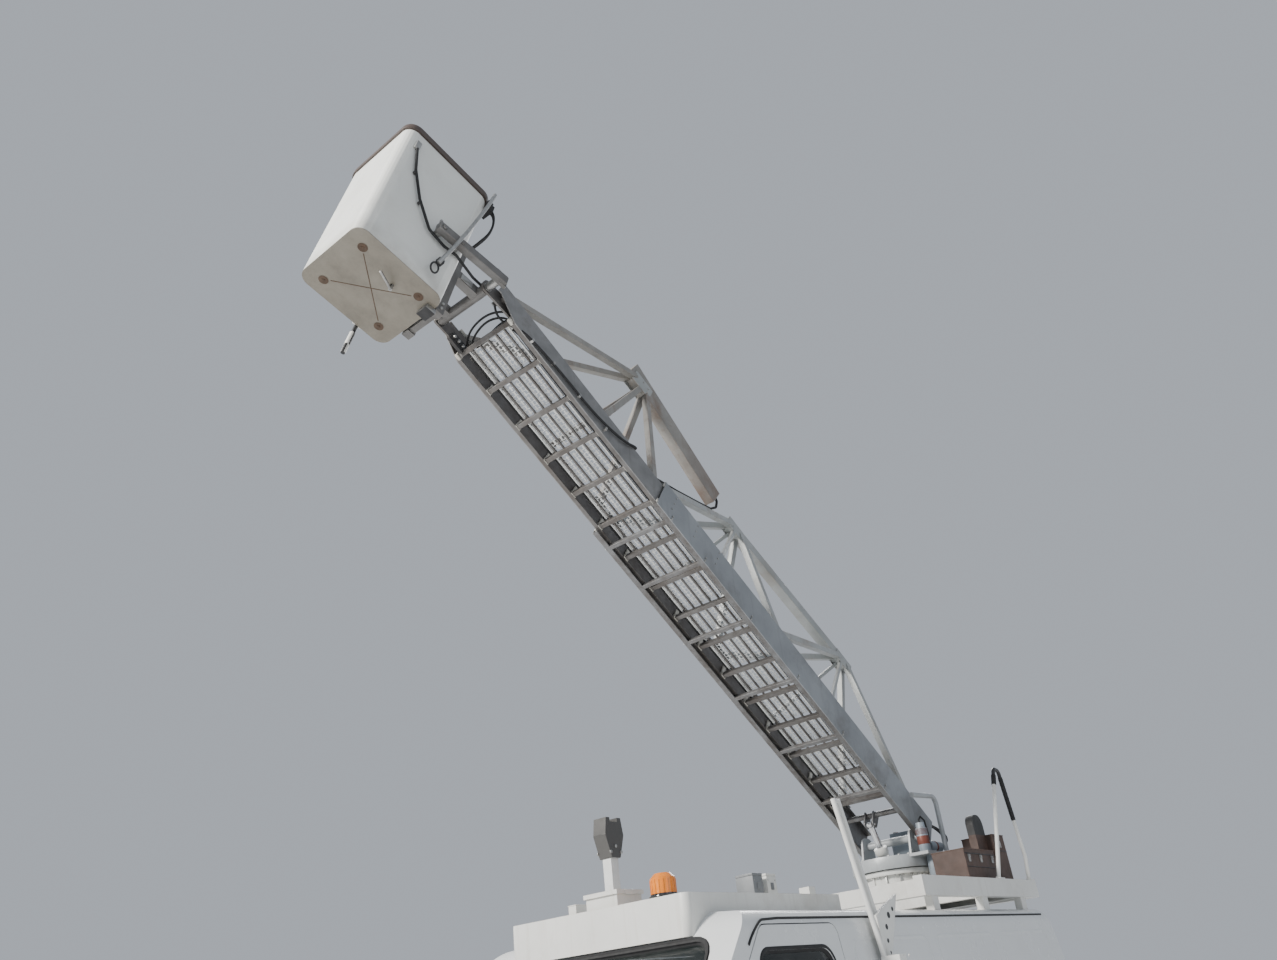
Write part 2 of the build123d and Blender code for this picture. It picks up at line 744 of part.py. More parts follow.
# Rear axle: a banjo case, tubes and a leaf spring over each end.
spring_y = frame_half_width + frame_rail_width / 2 + 60
with BuildPart() as rear_axle:
    with BuildSketch(Plane.XZ.offset(-stub_end)):
        with Locations((rear_axle_x, hub_height)):
            Circle(rim_bore - 0.3)
    extrude(amount=2 * stub_end)
    with BuildSketch(Plane.XZ.offset(-(half_track - tyre_width / 2 - 40))):
        with Locations((rear_axle_x, hub_height)):
            Circle(52)
    extrude(amount=2 * half_track - tyre_width - 80)
    with BuildSketch(Plane.YZ.offset(rear_axle_x - 130)):
        with Locations((0, hub_height)):
            Circle(135)
    extrude(amount=250)
    for side in (1, -1):
        with BuildSketch(Plane.XZ.offset(-side * (spring_y - 32))):
            with BuildLine():
                top = ThreePointArc(
                    (rear_axle_x - spring_length / 2, underfloor - 90),
                    (rear_axle_x, hub_height + 62),
                    (rear_axle_x + spring_length / 2, underfloor - 90),
                )
                bottom = ThreePointArc(
                    (rear_axle_x - spring_length / 2, underfloor - 116),
                    (rear_axle_x, hub_height + 20),
                    (rear_axle_x + spring_length / 2, underfloor - 116),
                )
                Line(top @ 0, bottom @ 0)
                Line(top @ 1, bottom @ 1)
            make_face()
        extrude(amount=-side * 64)
        for end in (1, -1):
            with BuildSketch(Plane.XY.offset(underfloor - 118)):
                with Locations((rear_axle_x + end * (spring_length / 2 - 20), side * (spring_y - 14))):
                    Rectangle(50, 88)
            extrude(amount=60)

# Wheels. Columns: name, x, side of the van.
tyre_corner = 34
rim_width = 190
disc_offset = 40
hand_holes = 5


def wheel_tyre(x, side):
    """A tyre as a ring with sloped shoulders."""
    with BuildPart() as piece:
        with BuildSketch(Plane.XZ.offset(-side * half_track + tyre_width / 2)):
            with Locations((x, hub_height)):
                Circle(tyre_radius)
                Circle(rim_radius, mode=Mode.SUBTRACT)
        extrude(amount=-tyre_width)
        outer_edges = piece.edges().filter_by(GeomType.CIRCLE).group_by(SortBy.RADIUS)[-1]
        chamfer(outer_edges, length=tyre_corner)
    return piece


def wheel_rim(x, side):
    """A steel wheel: a barrel, a dished disc with round hand holes and a hub cap."""
    with BuildPart() as piece:
        with BuildSketch(Plane.XZ.offset(-side * half_track + rim_width / 2)):
            with Locations((x, hub_height)):
                Circle(rim_radius)
                Circle(rim_radius - 12, mode=Mode.SUBTRACT)
        extrude(amount=-rim_width)
        with BuildSketch(Plane.XZ.offset(-side * (half_track + disc_offset))):
            with Locations((x, hub_height)):
                Circle(rim_radius - 6)
                with PolarLocations(rim_radius * 0.72, hand_holes):
                    Circle(28, mode=Mode.SUBTRACT)
        extrude(amount=side * 14)
        with BuildSketch(Plane.XZ.offset(-side * (half_track + disc_offset - 14))):
            with Locations((x, hub_height)):
                Circle(78)
        extrude(amount=-side * 60, taper=12)
        with BuildSketch(Plane.XZ.offset(-side * (half_track + disc_offset))):
            with Locations((x, hub_height)):
                Circle(62)
        extrude(amount=side * 45)
        with BuildSketch(Plane.XZ.offset(-side * (half_track + disc_offset - 14))):
            with Locations((x, hub_height)):
                Circle(rim_bore)
        extrude(amount=side * 60, mode=Mode.SUBTRACT)
        with BuildSketch(Plane.XZ.offset(-side * (half_track + 30))):
            with Locations((x, hub_height)):
                Circle(rim_bore)
        extrude(amount=side * 60, mode=Mode.SUBTRACT)
    return piece


front_left_tyre = wheel_tyre(front_axle_x, 1)
front_right_tyre = wheel_tyre(front_axle_x, -1)
rear_left_tyre = wheel_tyre(rear_axle_x, 1)
rear_right_tyre = wheel_tyre(rear_axle_x, -1)
front_left_rim = wheel_rim(front_axle_x, 1)
front_right_rim = wheel_rim(front_axle_x, -1)
rear_left_rim = wheel_rim(rear_axle_x, 1)
rear_right_rim = wheel_rim(rear_axle_x, -1)

# Cab fittings: dashboard with the engine cover, steering wheel, two seats.
dash_depth = 330
with BuildPart() as dashboard:
    with BuildSketch(Plane.XZ.offset(-(belt_half_width - wall - 4))):
        with BuildLine():
            FilletPolyline(
                (firewall_x, floor_height + 160),
                (firewall_x - dash_depth + 90, floor_height + 160),
                (firewall_x - dash_depth, floor_height + 330),
                (firewall_x - dash_depth + 60, floor_height + 470),
                (firewall_x, floor_height + 500),
                radius=[0, 40, 50, 60, 0],
                close=True,
            )
        make_face()
    extrude(amount=2 * (belt_half_width - wall - 4))
    with BuildSketch(Plane.XY.offset(floor_height)):
        with Locations((firewall_x - 310, 0)):
            RectangleRounded(620, 460, 60)
    extrude(amount=330)
    column_foot = Vector(firewall_x - dash_depth + 40, 430, floor_height + 330)
    wheel_centre = Vector(firewall_x - dash_depth - 150, 430, floor_height + 440)
    rod(column_foot, wheel_centre, 24)
    with BuildSketch(Plane(origin=wheel_centre, x_dir=(0, 1, 0), z_dir=wheel_centre - column_foot)) as hand_wheel:
        Circle(195)
        Circle(170, mode=Mode.SUBTRACT)
        Rectangle(360, 44)
    extrude(hand_wheel.sketch, amount=24)

seat_x = 930
seat_y = 430
with BuildPart() as seats:
    for side in (1, -1):
        with BuildSketch(Plane.XY.offset(floor_height)):
            with Locations((seat_x, side * seat_y)):
                RectangleRounded(380, 380, 40)
        extrude(amount=230)
        with BuildSketch(Plane.XY.offset(floor_height + 230)):
            with Locations((seat_x, side * seat_y)):
                RectangleRounded(500, 500, 70)
        extrude(amount=130)
        with BuildSketch(Plane.XZ.offset(-side * seat_y + 240)):
            with BuildLine():
                FilletPolyline(
                    (seat_x - 260, floor_height + 300),
                    (seat_x - 130, floor_height + 340),
                    (seat_x - 240, floor_height + 1010),
                    (seat_x - 340, floor_height + 1010),
                    radius=[0, 0, 40, 40],
                    close=True,
                )
            make_face()
        extrude(amount=-480)

# Roof frame and the lower turret: two long beams, cross beams, the column and its drum.
beam_y = 790
beam_width = 64
beam_bottom = 2122
beam_height = 124
beam_front_x = -900
beam_rear_x = -2890
foot_places = [-1050, -1850, -2560]
with BuildPart() as roof_frame:
    for side in (1, -1):
        with BuildSketch(Plane.XY.offset(beam_bottom)):
            with Locations(((beam_front_x + beam_rear_x) / 2, side * beam_y)):
                Rectangle(beam_front_x - beam_rear_x, beam_width)
        extrude(amount=beam_height)
        with BuildSketch(Plane.XY.offset(roof_edge_height - 60)):
            for place in foot_places:
                with Locations((place, side * (beam_y - 5))):
                    Rectangle(90, 54)
        extrude(amount=beam_bottom - roof_edge_height + 70)
    with BuildSketch(Plane.XY.offset(beam_bottom)):
        for place in (beam_front_x - 40, slew_x + 330, slew_x - 330, beam_rear_x + 40):
            with Locations((place, 0)):
                Rectangle(80, 2 * beam_y)
    extrude(amount=beam_height - 20)
    with BuildSketch(Plane.XY.offset(beam_bottom + beam_height - 20)):
        with Locations((slew_x, 0)):
            Rectangle(740, 2 * beam_y)
    extrude(amount=20)
    add(skin_form, mode=Mode.SUBTRACT)
    with BuildSketch(Plane.XY.offset(floor_height)):
        with Locations((slew_x, 0)):
            Circle(column_radius)
    extrude(amount=drum_bottom - floor_height + 5)
    with BuildSketch(Plane.XY.offset(drum_bottom - 12)):
        with Locations((slew_x, 0)):
            Circle(drum_radius)
    extrude(amount=drum_top - drum_bottom + 12)
    with BuildSketch(Plane.XY.offset(drum_bottom)):
        with Locations((slew_x, 0)):
            Circle(drum_bore)
    extrude(amount=drum_top - drum_bottom, mode=Mode.SUBTRACT)
    with BuildSketch(Plane.XY.offset(drum_top - 34)):
        with Locations((slew_x, 0)):
            Circle(drum_radius + 34)
            Circle(drum_bore, mode=Mode.SUBTRACT)
    extrude(amount=34)

# Front roof deck: a tray on the roof with a capped box, a rear post and two control boxes.
deck_front_x = 1330
deck_rear_x = -190
deck_half_width = 620
deck_top = 2128
cap_height = 110
boom_rest_x = 1150
beacon_x = 1130
beacon_y = 330
beacon_radius = 80
beacon_base = 43
pad_height = 3
with BuildPart() as roof_deck:
    with BuildSketch(Plane.XY.offset(roof_edge_height - 80)):
        with Locations(((deck_front_x + deck_rear_x) / 2, 0)):
            RectangleRounded(deck_front_x - deck_rear_x, 2 * deck_half_width, 40)
    extrude(amount=deck_top - roof_edge_height + 80)
    with BuildSketch(Plane.XY.offset(deck_top)):
        with Locations(((deck_front_x + deck_rear_x) / 2, 0)):
            RectangleRounded(deck_front_x - deck_rear_x, 2 * deck_half_width, 40)
            RectangleRounded(deck_front_x - deck_rear_x - 40, 2 * deck_half_width - 40, 25, mode=Mode.SUBTRACT)
    extrude(amount=22)
    with BuildSketch(Plane.XY.offset(deck_top)):
        with Locations((boom_rest_x, 0)):
            Rectangle(200, 220)
        with Locations((deck_rear_x + 60, 430)):
            Rectangle(70, 70)
    extrude(amount=cap_height - 22)
    with BuildSketch(Plane.XY.offset(deck_top + cap_height - 22)):
        with Locations((boom_rest_x, 0)):
            Rectangle(220, 240)
    extrude(amount=22)
    with BuildSketch(Plane.XY.offset(deck_top)):
        with Locations((beacon_x, beacon_y)):
            Circle(beacon_radius + 4)
    extrude(amount=pad_height)
    with BuildSketch(Plane.XY.offset(deck_top)):
        for place in (60, -90):
            with Locations((place, 150)):
                RectangleRounded(100, 120, 10)
    extrude(amount=190)
    with BuildSketch(Plane.XY.offset(deck_top)):
        with Locations(((deck_front_x + deck_rear_x) / 2 - 150, -480)):
            Rectangle(1100, 60)
    extrude(amount=110)
    add(skin_form, mode=Mode.SUBTRACT)

with BuildPart() as beacon:
    with BuildSketch(Plane.XY.offset(deck_top + pad_height)):
        with Locations((beacon_x, beacon_y)):
            Circle(beacon_radius)
    extrude(amount=beacon_base)
    with BuildSketch(Plane.XY.offset(deck_top + pad_height + beacon_base)):
        with Locations((beacon_x, beacon_y)):
            Circle(beacon_radius - 12)
    extrude(amount=110)
    chamfer(beacon.edges().group_by(Axis.Z)[-1], length=24)

# Boom rest: a post with a fork that takes the first cross member of the stowed boom.
rest_slot = 60
rest_seat = pin_z - rail_drop - 8
with BuildPart() as boom_rest:
    with BuildSketch(Plane.XY.offset(deck_top + cap_height)):
        with Locations((boom_rest_x, 0)):
            Rectangle(60, 60)
    extrude(amount=rest_seat - 90 - deck_top - cap_height)
    with BuildSketch(Plane.XZ.offset(-45)):
        with BuildLine():
            FilletPolyline(
                (boom_rest_x - 35, rest_seat - 190),
                (boom_rest_x + 35, rest_seat - 190),
                (boom_rest_x + 75, rest_seat - 70),
                (boom_rest_x + 60, rest_seat + 22),
                (boom_rest_x + rest_slot / 2, rest_seat + 22),
                (boom_rest_x + rest_slot / 2, rest_seat),
                (boom_rest_x - rest_slot / 2, rest_seat),
                (boom_rest_x - rest_slot / 2, rest_seat + 22),
                (boom_rest_x - 60, rest_seat + 22),
                (boom_rest_x - 75, rest_seat - 70),
                radius=[10, 10, 20, 0, 0, 0, 0, 0, 0, 20],
                close=True,
            )
        make_face()
    extrude(amount=90)

# Hand rails in round tube: the twin tubes at the left load side and the rear loop.
rail_tube = 15
side_rail_x = 40
with BuildPart() as hand_rails:
    for along in (0, 52):
        rod(
            Vector(side_rail_x + along, body_half_width + 24, 1380),
            Vector(side_rail_x + along - 10, body_half_width - 170, 2640),
            rail_tube,
        )
    rod(
        Vector(side_rail_x - 6, body_half_width - 170, 2630),
        Vector(side_rail_x + 48, body_half_width - 170, 2630),
        rail_tube - 2,
    )
    with BuildSketch(Plane.XZ.offset(-(body_half_width - 62))):
        with BuildLine():
            Polyline(
                (side_rail_x - 250, 2105),
                (side_rail_x + 45, 1990),
                (side_rail_x + 25, 1740),
                (side_rail_x - 25, 1740),
                close=True,
            )
        make_face()
    extrude(amount=-22)
    with BuildSketch(Plane.YZ.offset(side_rail_x - 15)):
        for at_z in (1400, 1760):
            with Locations((body_half_width + 5, at_z)):
                Rectangle(110, 50)
    extrude(amount=80)
    bent_tube(
        [
            (-2250, beam_y, beam_bottom + beam_height + 6),
            (-2300, beam_y + 20, 2420),
            (-2640, beam_y + 30, 3080),
            (-2730, beam_y + 30, 3070),
            (-2850, beam_y + 20, 2420),
            (-2850, beam_y, beam_bottom + beam_height + 3),
        ],
        40,
        rail_tube,
    )
    add(skin_form, mode=Mode.SUBTRACT)

# Tool box on the left rear of the roof frame, with a rounded guard at its back.
with BuildPart() as tool_box:
    with BuildSketch(Plane.XY.offset(beam_bottom + beam_height)):
        with Locations((-2190, 590)):
            Rectangle(560, 250)
    extrude(amount=215)
    with BuildSketch(Plane.XY.offset(beam_bottom + beam_height)):
        with Locations((-2630, 590)):
            Rectangle(220, 250)
    extrude(amount=340)
    with BuildSketch(Plane.XZ.offset(-660)):
        with Locations((-2440, beam_bottom + beam_height + 330)):
            RectangleRounded(190, 330, 80)
    extrude(amount=60)


# Turntable: the disc with its cheeks, the lift pin and the clevis of the lift cylinder.
slot_rear_x = -2312
slot_front_x = -1915
slot_half_width = 55
side_deck_inner = 302
side_deck_outer = 405
with BuildPart() as turntable:
    with BuildSketch(Plane.XY.offset(disc_bottom)):
        with Locations((slew_x, 0)):
            Circle(disc_radius)
    extrude(amount=disc_top - disc_bottom)
    with BuildSketch(Plane.XY.offset(disc_top - 22)):
        with Locations((slew_x, (side_deck_outer - disc_radius / 2) / 2 + disc_radius / 2)):
            Rectangle(400, side_deck_outer - disc_radius / 2)
        with Locations((slew_x - 290, 0)):
            Rectangle(260, 280)
    extrude(amount=22)
    with BuildSketch(Plane.XY.offset(disc_bottom)):
        with Locations(((slot_rear_x + slot_front_x) / 2, 0)):
            Rectangle(slot_front_x - slot_rear_x, 2 * slot_half_width)
    extrude(amount=disc_top - disc_bottom, mode=Mode.SUBTRACT)
    for side in (1, -1):
        with BuildSketch(Plane.XZ.offset(-side * cheek_y - cheek_thickness / 2)):
            with BuildLine():
                FilletPolyline(
                    (pin_x - 96, disc_top),
                    (pin_x + 130, disc_top),
                    (pin_x + 74, pin_z + 66),
                    (pin_x - 74, pin_z + 66),
                    radius=[0, 0, 58, 58],
                    close=True,
                )
            make_face()
        extrude(amount=cheek_thickness)
        with BuildSketch(Plane.XZ.offset(-side * (slot_half_width + 8) - 8)):
            with Locations((pin_x, (anchor_z + disc_bottom) / 2 - 21)):
                Rectangle(116, disc_bottom - anchor_z + 42)
        extrude(amount=16)
    with BuildSketch(Plane.XZ.offset(-rail_half_width)):
        with Locations((pin_x, pin_z)):
            Circle(pin_radius)
    extrude(amount=2 * rail_half_width)
    with BuildSketch(Plane.XZ.offset(-slot_half_width - 16)):
        with Locations((pin_x, anchor_z)):
            Circle(anchor_radius)
    extrude(amount=2 * slot_half_width + 32)
    bent_tube(
        [
            (slew_x - 190, side_deck_outer - 24, disc_top - 4),
            (slew_x - 200, side_deck_outer - 24, 2935),
            (slew_x + 190, side_deck_outer - 34, 2920),
        ],
        60,
        19,
    )

# Drive gear on the turntable: valve box, swing motor and winch motor.
with BuildPart() as turret_gear:
    with BuildSketch(Plane.XY.offset(disc_top)):
        with Locations((slew_x - 350, 0)):
            Rectangle(120, 250)
    extrude(amount=230)
    fillet(turret_gear.edges().filter_by(Axis.Z), radius=14)
    with BuildSketch(Plane.XY.offset(disc_top)):
        with Locations((slew_x + 120, (side_deck_inner + side_deck_outer) / 2 - 2)):
            Circle(44)
    extrude(amount=170)
    with BuildSketch(Plane.XY.offset(disc_top + 170)):
        with Locations((slew_x + 120, (side_deck_inner + side_deck_outer) / 2 - 2)):
            Circle(34)
    extrude(amount=40)
    with BuildSketch(Plane.YZ.offset(slew_x - 150)):
        with Locations(((side_deck_inner + side_deck_outer) / 2 - 10, disc_top + 44)):
            Circle(40)
    extrude(amount=200)
    with BuildSketch(Plane.XY.offset(disc_top)):
        with Locations((slew_x - 50, (side_deck_inner + side_deck_outer) / 2 - 10)):
            Rectangle(150, 50)
    extrude(amount=30)
    with BuildSketch(Plane.XY.offset(disc_top - 22 - 150)):
        with Locations((slew_x + 60, side_deck_outer - 38)):
            Circle(46)
    extrude(amount=150)

# Lift cylinder: the barrel turns on the clevis pin, the rod reaches the boom's ears.
eye_s = 300
eye_n = -60
eye_radius = 25
eye_half_width = 18
anchor = Vector(pin_x, 0, anchor_z)
eye = boom_point(eye_s, 0, eye_n)
stroke_dir = (eye - anchor).normalized()
rod_length = 380
with BuildPart() as lift_cylinder:
    rod(anchor - stroke_dir * 42, anchor + stroke_dir * barrel_length, barrel_radius)
    rod(anchor + stroke_dir * (barrel_length - 46), anchor + stroke_dir * (barrel_length - 4), barrel_radius + 7)
    with BuildSketch(Plane(origin=anchor + stroke_dir * (barrel_length + 10), z_dir=stroke_dir)) as bore:
        Circle(cylinder_rod_radius + 0.3)
    extrude(bore.sketch, amount=-(barrel_length - 60), mode=Mode.SUBTRACT)
    with BuildSketch(Plane.XZ.offset(-100)):
        with Locations((pin_x, anchor_z)):
            Circle(anchor_radius + 0.3)
    extrude(amount=200, mode=Mode.SUBTRACT)
with BuildPart() as lift_rod:
    rod(eye - stroke_dir * rod_length, eye - stroke_dir * (eye_radius - 6), cylinder_rod_radius)
    with BuildSketch(Plane.XZ.offset(-eye_half_width)):
        with Locations((eye.X, eye.Z)):
            Circle(eye_radius)
    extrude(amount=2 * eye_half_width)

# Base boom. Columns of the truss tables: s, c and n of both ends.
rail_bottom = -rail_drop
rail_top = rail_height - rail_drop
cross_height = 28
with BuildPart() as base_boom:
    for side in (1, -1):
        with BuildSketch(boom_section(-tail_overhang)) as channel:
            with Locations((side * (rail_half_width - rail_flange / 2), rail_bottom + rail_height / 2)):
                Rectangle(rail_flange, rail_height)
            with Locations((side * (rail_half_width - rail_wall - rail_flange / 2), rail_bottom + rail_height / 2)):
                Rectangle(rail_flange, rail_height - 2 * rail_wall, mode=Mode.SUBTRACT)
        extrude(channel.sketch, amount=tail_overhang + base_length)
    with BuildSketch(boom_deck(rail_bottom)) as cross_row:
        for place in [600, 1210, 1820, 2430, 3000, 3390]:
            with Locations((place, 0)):
                Rectangle(30, 2 * (rail_half_width - rail_wall))
    extrude(cross_row.sketch, amount=cross_height)
    ear_y = cylinder_rod_radius + 11
    ear_tube_radius = 22
    ear_tube_n = 5 + ear_tube_radius
    with BuildSketch(Plane.XZ.offset(-(rail_half_width - rail_wall))) as ear_tube:
        with Locations((boom_point(eye_s, 0, ear_tube_n).X, boom_point(eye_s, 0, ear_tube_n).Z)):
            Circle(ear_tube_radius)
    extrude(ear_tube.sketch, amount=2 * (rail_half_width - rail_wall))
    for side in (1, -1):
        with BuildSketch(Plane.XZ.offset(-side * ear_y - 6)) as ear:
            with BuildLine():
                low = boom_point(eye_s - 34, 0, eye_n - 20)
                low_front = boom_point(eye_s + 34, 0, eye_n - 20)
                high_front = boom_point(eye_s + 42, 0, ear_tube_n + 10)
                high = boom_point(eye_s - 42, 0, ear_tube_n + 10)
                FilletPolyline(
                    (low.X, low.Z),
                    (low_front.X, low_front.Z),
                    (high_front.X, high_front.Z),
                    (high.X, high.Z),
                    radius=[20, 20, 0, 0],
                    close=True,
                )
            make_face()
            with Locations((eye.X, eye.Z)):
                Circle(13, mode=Mode.SUBTRACT)
        extrude(ear.sketch, amount=12)
    with BuildSketch(Plane.XZ.offset(-rail_half_width - 10)) as pin_hole:
        with Locations((pin_x, pin_z)):
            Circle(pin_radius + 0.3)
    extrude(pin_hole.sketch, amount=2 * rail_half_width + 20, mode=Mode.SUBTRACT)

# Base truss: a square ridge tube held over the rails by raking legs.
# Columns: size, s at the ridge, s at the rail's top.
foot_c = rail_half_width - 29
ridge_front_s, ridge_front_n = 2600, 995
ridge_rear_s, ridge_rear_n = 1016, 1072
ridge_fall = (ridge_front_n - ridge_rear_n) / (ridge_front_s - ridge_rear_s)
base_legs = [
    (leg_size, 2660, 3470),
    (thin_leg_size, 2600, 2845),
    (leg_size, 2540, 2150),
    (leg_size, 1080, 2060),
    (thin_leg_size, 1020, 1370),
    (leg_size, 960, 330),
]
with BuildPart() as base_truss:
    for side in (1, -1):
        for size, head_s, foot_s in base_legs:
            head_n = ridge_rear_n + ridge_fall * (head_s - ridge_rear_s)
            head = boom_point(head_s, side * size / 2, head_n)
            foot = boom_point(foot_s, side * foot_c, rail_top)
            bar(head, foot + (foot - head) * 0.1, size, size)
    with BuildSketch(boom_section(0)) as under:
        with Locations((0, rail_top - 200 + 0.5)):
            Rectangle(800, 400)
    extrude(under.sketch, amount=base_length + 200, mode=Mode.SUBTRACT)
    ridge_start = boom_point(ridge_rear_s - 110, 0, ridge_rear_n - ridge_fall * 110)
    ridge_end = boom_point(ridge_front_s + 110, 0, ridge_front_n + ridge_fall * 110)
    ridge_run = ridge_end - ridge_start
    with BuildSketch(Plane(origin=ridge_start, x_dir=(0, 1, 0), z_dir=ridge_run)) as ridge_room:
        Rectangle(ridge_size + 2, ridge_size + 2)
    extrude(ridge_room.sketch, amount=ridge_run.length + leg_size, mode=Mode.SUBTRACT)
    bar(ridge_start, ridge_end, ridge_size, ridge_size)

# Fly boom: the inner ladder with its deck, its own truss and the lugs at the tip.
fly_half_width = rail_half_width - rail_wall - fly_clearance
fly_bottom = rail_bottom + cross_height + 6
fly_top = rail_top - rail_wall - 15
fly_foot_c = fly_half_width - 15
fly_foot_n = fly_top + 4
rung_bottom = fly_bottom + 6
tip_s = 5320
tip_n = 70
lug_c = 227
lug_thickness = 15
with BuildPart() as fly_boom:
    for side in (1, -1):
        with BuildSketch(boom_section(fly_rear)) as channel:
            with Locations((side * (fly_half_width - fly_flange / 2), (fly_bottom + fly_top) / 2)):
                Rectangle(fly_flange, fly_top - fly_bottom)
            with Locations((side * (fly_half_width - rail_wall - fly_flange / 2), (fly_bottom + fly_top) / 2)):
                Rectangle(fly_flange, fly_top - fly_bottom - 2 * rail_wall, mode=Mode.SUBTRACT)
        extrude(channel.sketch, amount=fly_reach - fly_rear)
    for rung in range(16):
        with BuildSketch(boom_deck(rung_bottom)) as step:
            with Locations((500 + rung * rung_pitch, 0)):
                Rectangle(rung_size, 2 * (fly_half_width - rail_wall))
        extrude(step.sketch, amount=rung_size)
    with BuildSketch(boom_deck(rung_bottom + rung_size)) as grating:
        for place in (-150, -75, 0, 75, 150):
            with Locations((500 + 15 * rung_pitch / 2, place)):
                Rectangle(15 * rung_pitch, 12)
    extrude(grating.sketch, amount=14)
    with BuildSketch(Plane.XZ.offset(-600)) as tip_cut:
        with BuildLine():
            low_rear = boom_point(5010, 0, fly_bottom - 20)
            low_tip = boom_point(5400, 0, fly_bottom - 20)
            high_tip = boom_point(5400, 0, 90)
            high_rear = boom_point(5240, 0, 90)
            Polyline(
                (low_rear.X, low_rear.Z),
                (low_tip.X, low_tip.Z),
                (high_tip.X, high_tip.Z),
                (high_rear.X, high_rear.Z),
                close=True,
            )
        make_face()
    extrude(tip_cut.sketch, amount=1200, mode=Mode.SUBTRACT)
    for side in (1, -1):
        with BuildSketch(Plane.XZ.offset(-side * lug_c - lug_thickness / 2)) as lug:
            with BuildLine():
                rear_low = boom_point(5090, 0, 55)
                front_low = boom_point(tip_s + 45, 0, tip_n - 48)
                front_high = boom_point(tip_s + 45, 0, tip_n + 48)
                rear_high = boom_point(5090, 0, fly_top - 10)
                FilletPolyline(
                    (rear_low.X, rear_low.Z),
                    (front_low.X, front_low.Z),
                    (front_high.X, front_high.Z),
                    (rear_high.X, rear_high.Z),
                    radius=[0, 36, 36, 0],
                    close=True,
                )
            make_face()
            with Locations((boom_point(tip_s, 0, tip_n).X, boom_point(tip_s, 0, tip_n).Z)):
                Circle(anchor_radius + 0.3, mode=Mode.SUBTRACT)
        extrude(lug.sketch, amount=lug_thickness)
        with BuildSketch(boom_deck(100)) as spacer:
            for place in (5110, 5200):
                with Locations((place, side * (fly_half_width + lug_c) / 2)):
                    Rectangle(30, fly_half_width - rail_wall / 2 - lug_c)
        extrude(spacer.sketch, amount=40)

# Fly truss: a deep tail beam and the legs that carry it over the fly's front half.
# Columns: s and n at the head, s at the rail's top.
peak_s, peak_n = 3957, 1222
tail_s, tail_n = 2900, 1041
tail_width = 80
tail_depth = 150
fly_foot_c = fly_half_width - 27
fly_legs = [
    (4040, 1196, 5130),
    (3960, 1120, 4190),
    (3880, 1150, 3640),
]
with BuildPart() as fly_truss:
    for side in (1, -1):
        for head_s, head_n, foot_s in fly_legs:
            head = boom_point(head_s, side * leg_size / 2, head_n)
            foot = boom_point(foot_s, side * fly_foot_c, fly_top)
            bar(head, foot + (foot - head) * 0.1, leg_size, leg_size)
    with BuildSketch(boom_section(3000)) as under:
        with Locations((0, fly_top - 200 + 0.5)):
            Rectangle(800, 400)
    extrude(under.sketch, amount=2600, mode=Mode.SUBTRACT)
    tail_start = boom_point(tail_s, 0, tail_n)
    tail_end = boom_point(peak_s + 140, 0, peak_n + 24)
    tail_run = tail_end - tail_start
    with BuildSketch(Plane(origin=tail_start, x_dir=(0, 1, 0), z_dir=tail_run)) as tail_room:
        Rectangle(tail_width + 2, tail_depth + 2)
    extrude(tail_room.sketch, amount=tail_run.length, mode=Mode.SUBTRACT)
    bar(tail_start, tail_end, tail_width, tail_depth)

# Hydraulic hose held on the fly: it lies in the left rail, then rises to the tail beam's end.
# Columns: s, c, n.
hose_radius = 10
fly_hose_points = [
    (5040, 186, 66),
    (4800, 218, 96),
    (4480, 222, 118),
    (4180, 214, 138),
    (3890, 188, 195),
    (3580, 120, 375),
    (3294, 70, 595),
    (3034, 30, 802),
    (2892, 4, 925),
    (2842, 0, 1010),
    (2858, 0, 1082),
    (2930, 0, 1092),
]
with BuildPart() as fly_hose:
    bent_tube([boom_point(s, c, n) for s, c, n in fly_hose_points], 30, hose_radius)
    add(fly_truss.part, mode=Mode.SUBTRACT)
    add(fly_boom.part, mode=Mode.SUBTRACT)

# Bucket, lofted between its floor and its rim, and the carrier behind it.
# Bucket frame: X away from the boom, Y to the left, Z up along the bucket's wall.
pivot_x = -574
pivot_z = 467
bucket_forward = Vector(cos(radians(bucket_tilt)), 0, sin(radians(bucket_tilt)))
bucket_up = Vector(-sin(radians(bucket_tilt)), 0, cos(radians(bucket_tilt)))
bucket_foot = boom_point(tip_s, 0, tip_n) - bucket_forward * pivot_x - bucket_up * pivot_z


def bucket_level_plane(height):
    """A plane across the bucket at a height above its floor."""
    return Plane(origin=bucket_foot + bucket_up * height, x_dir=bucket_forward, z_dir=bucket_up)


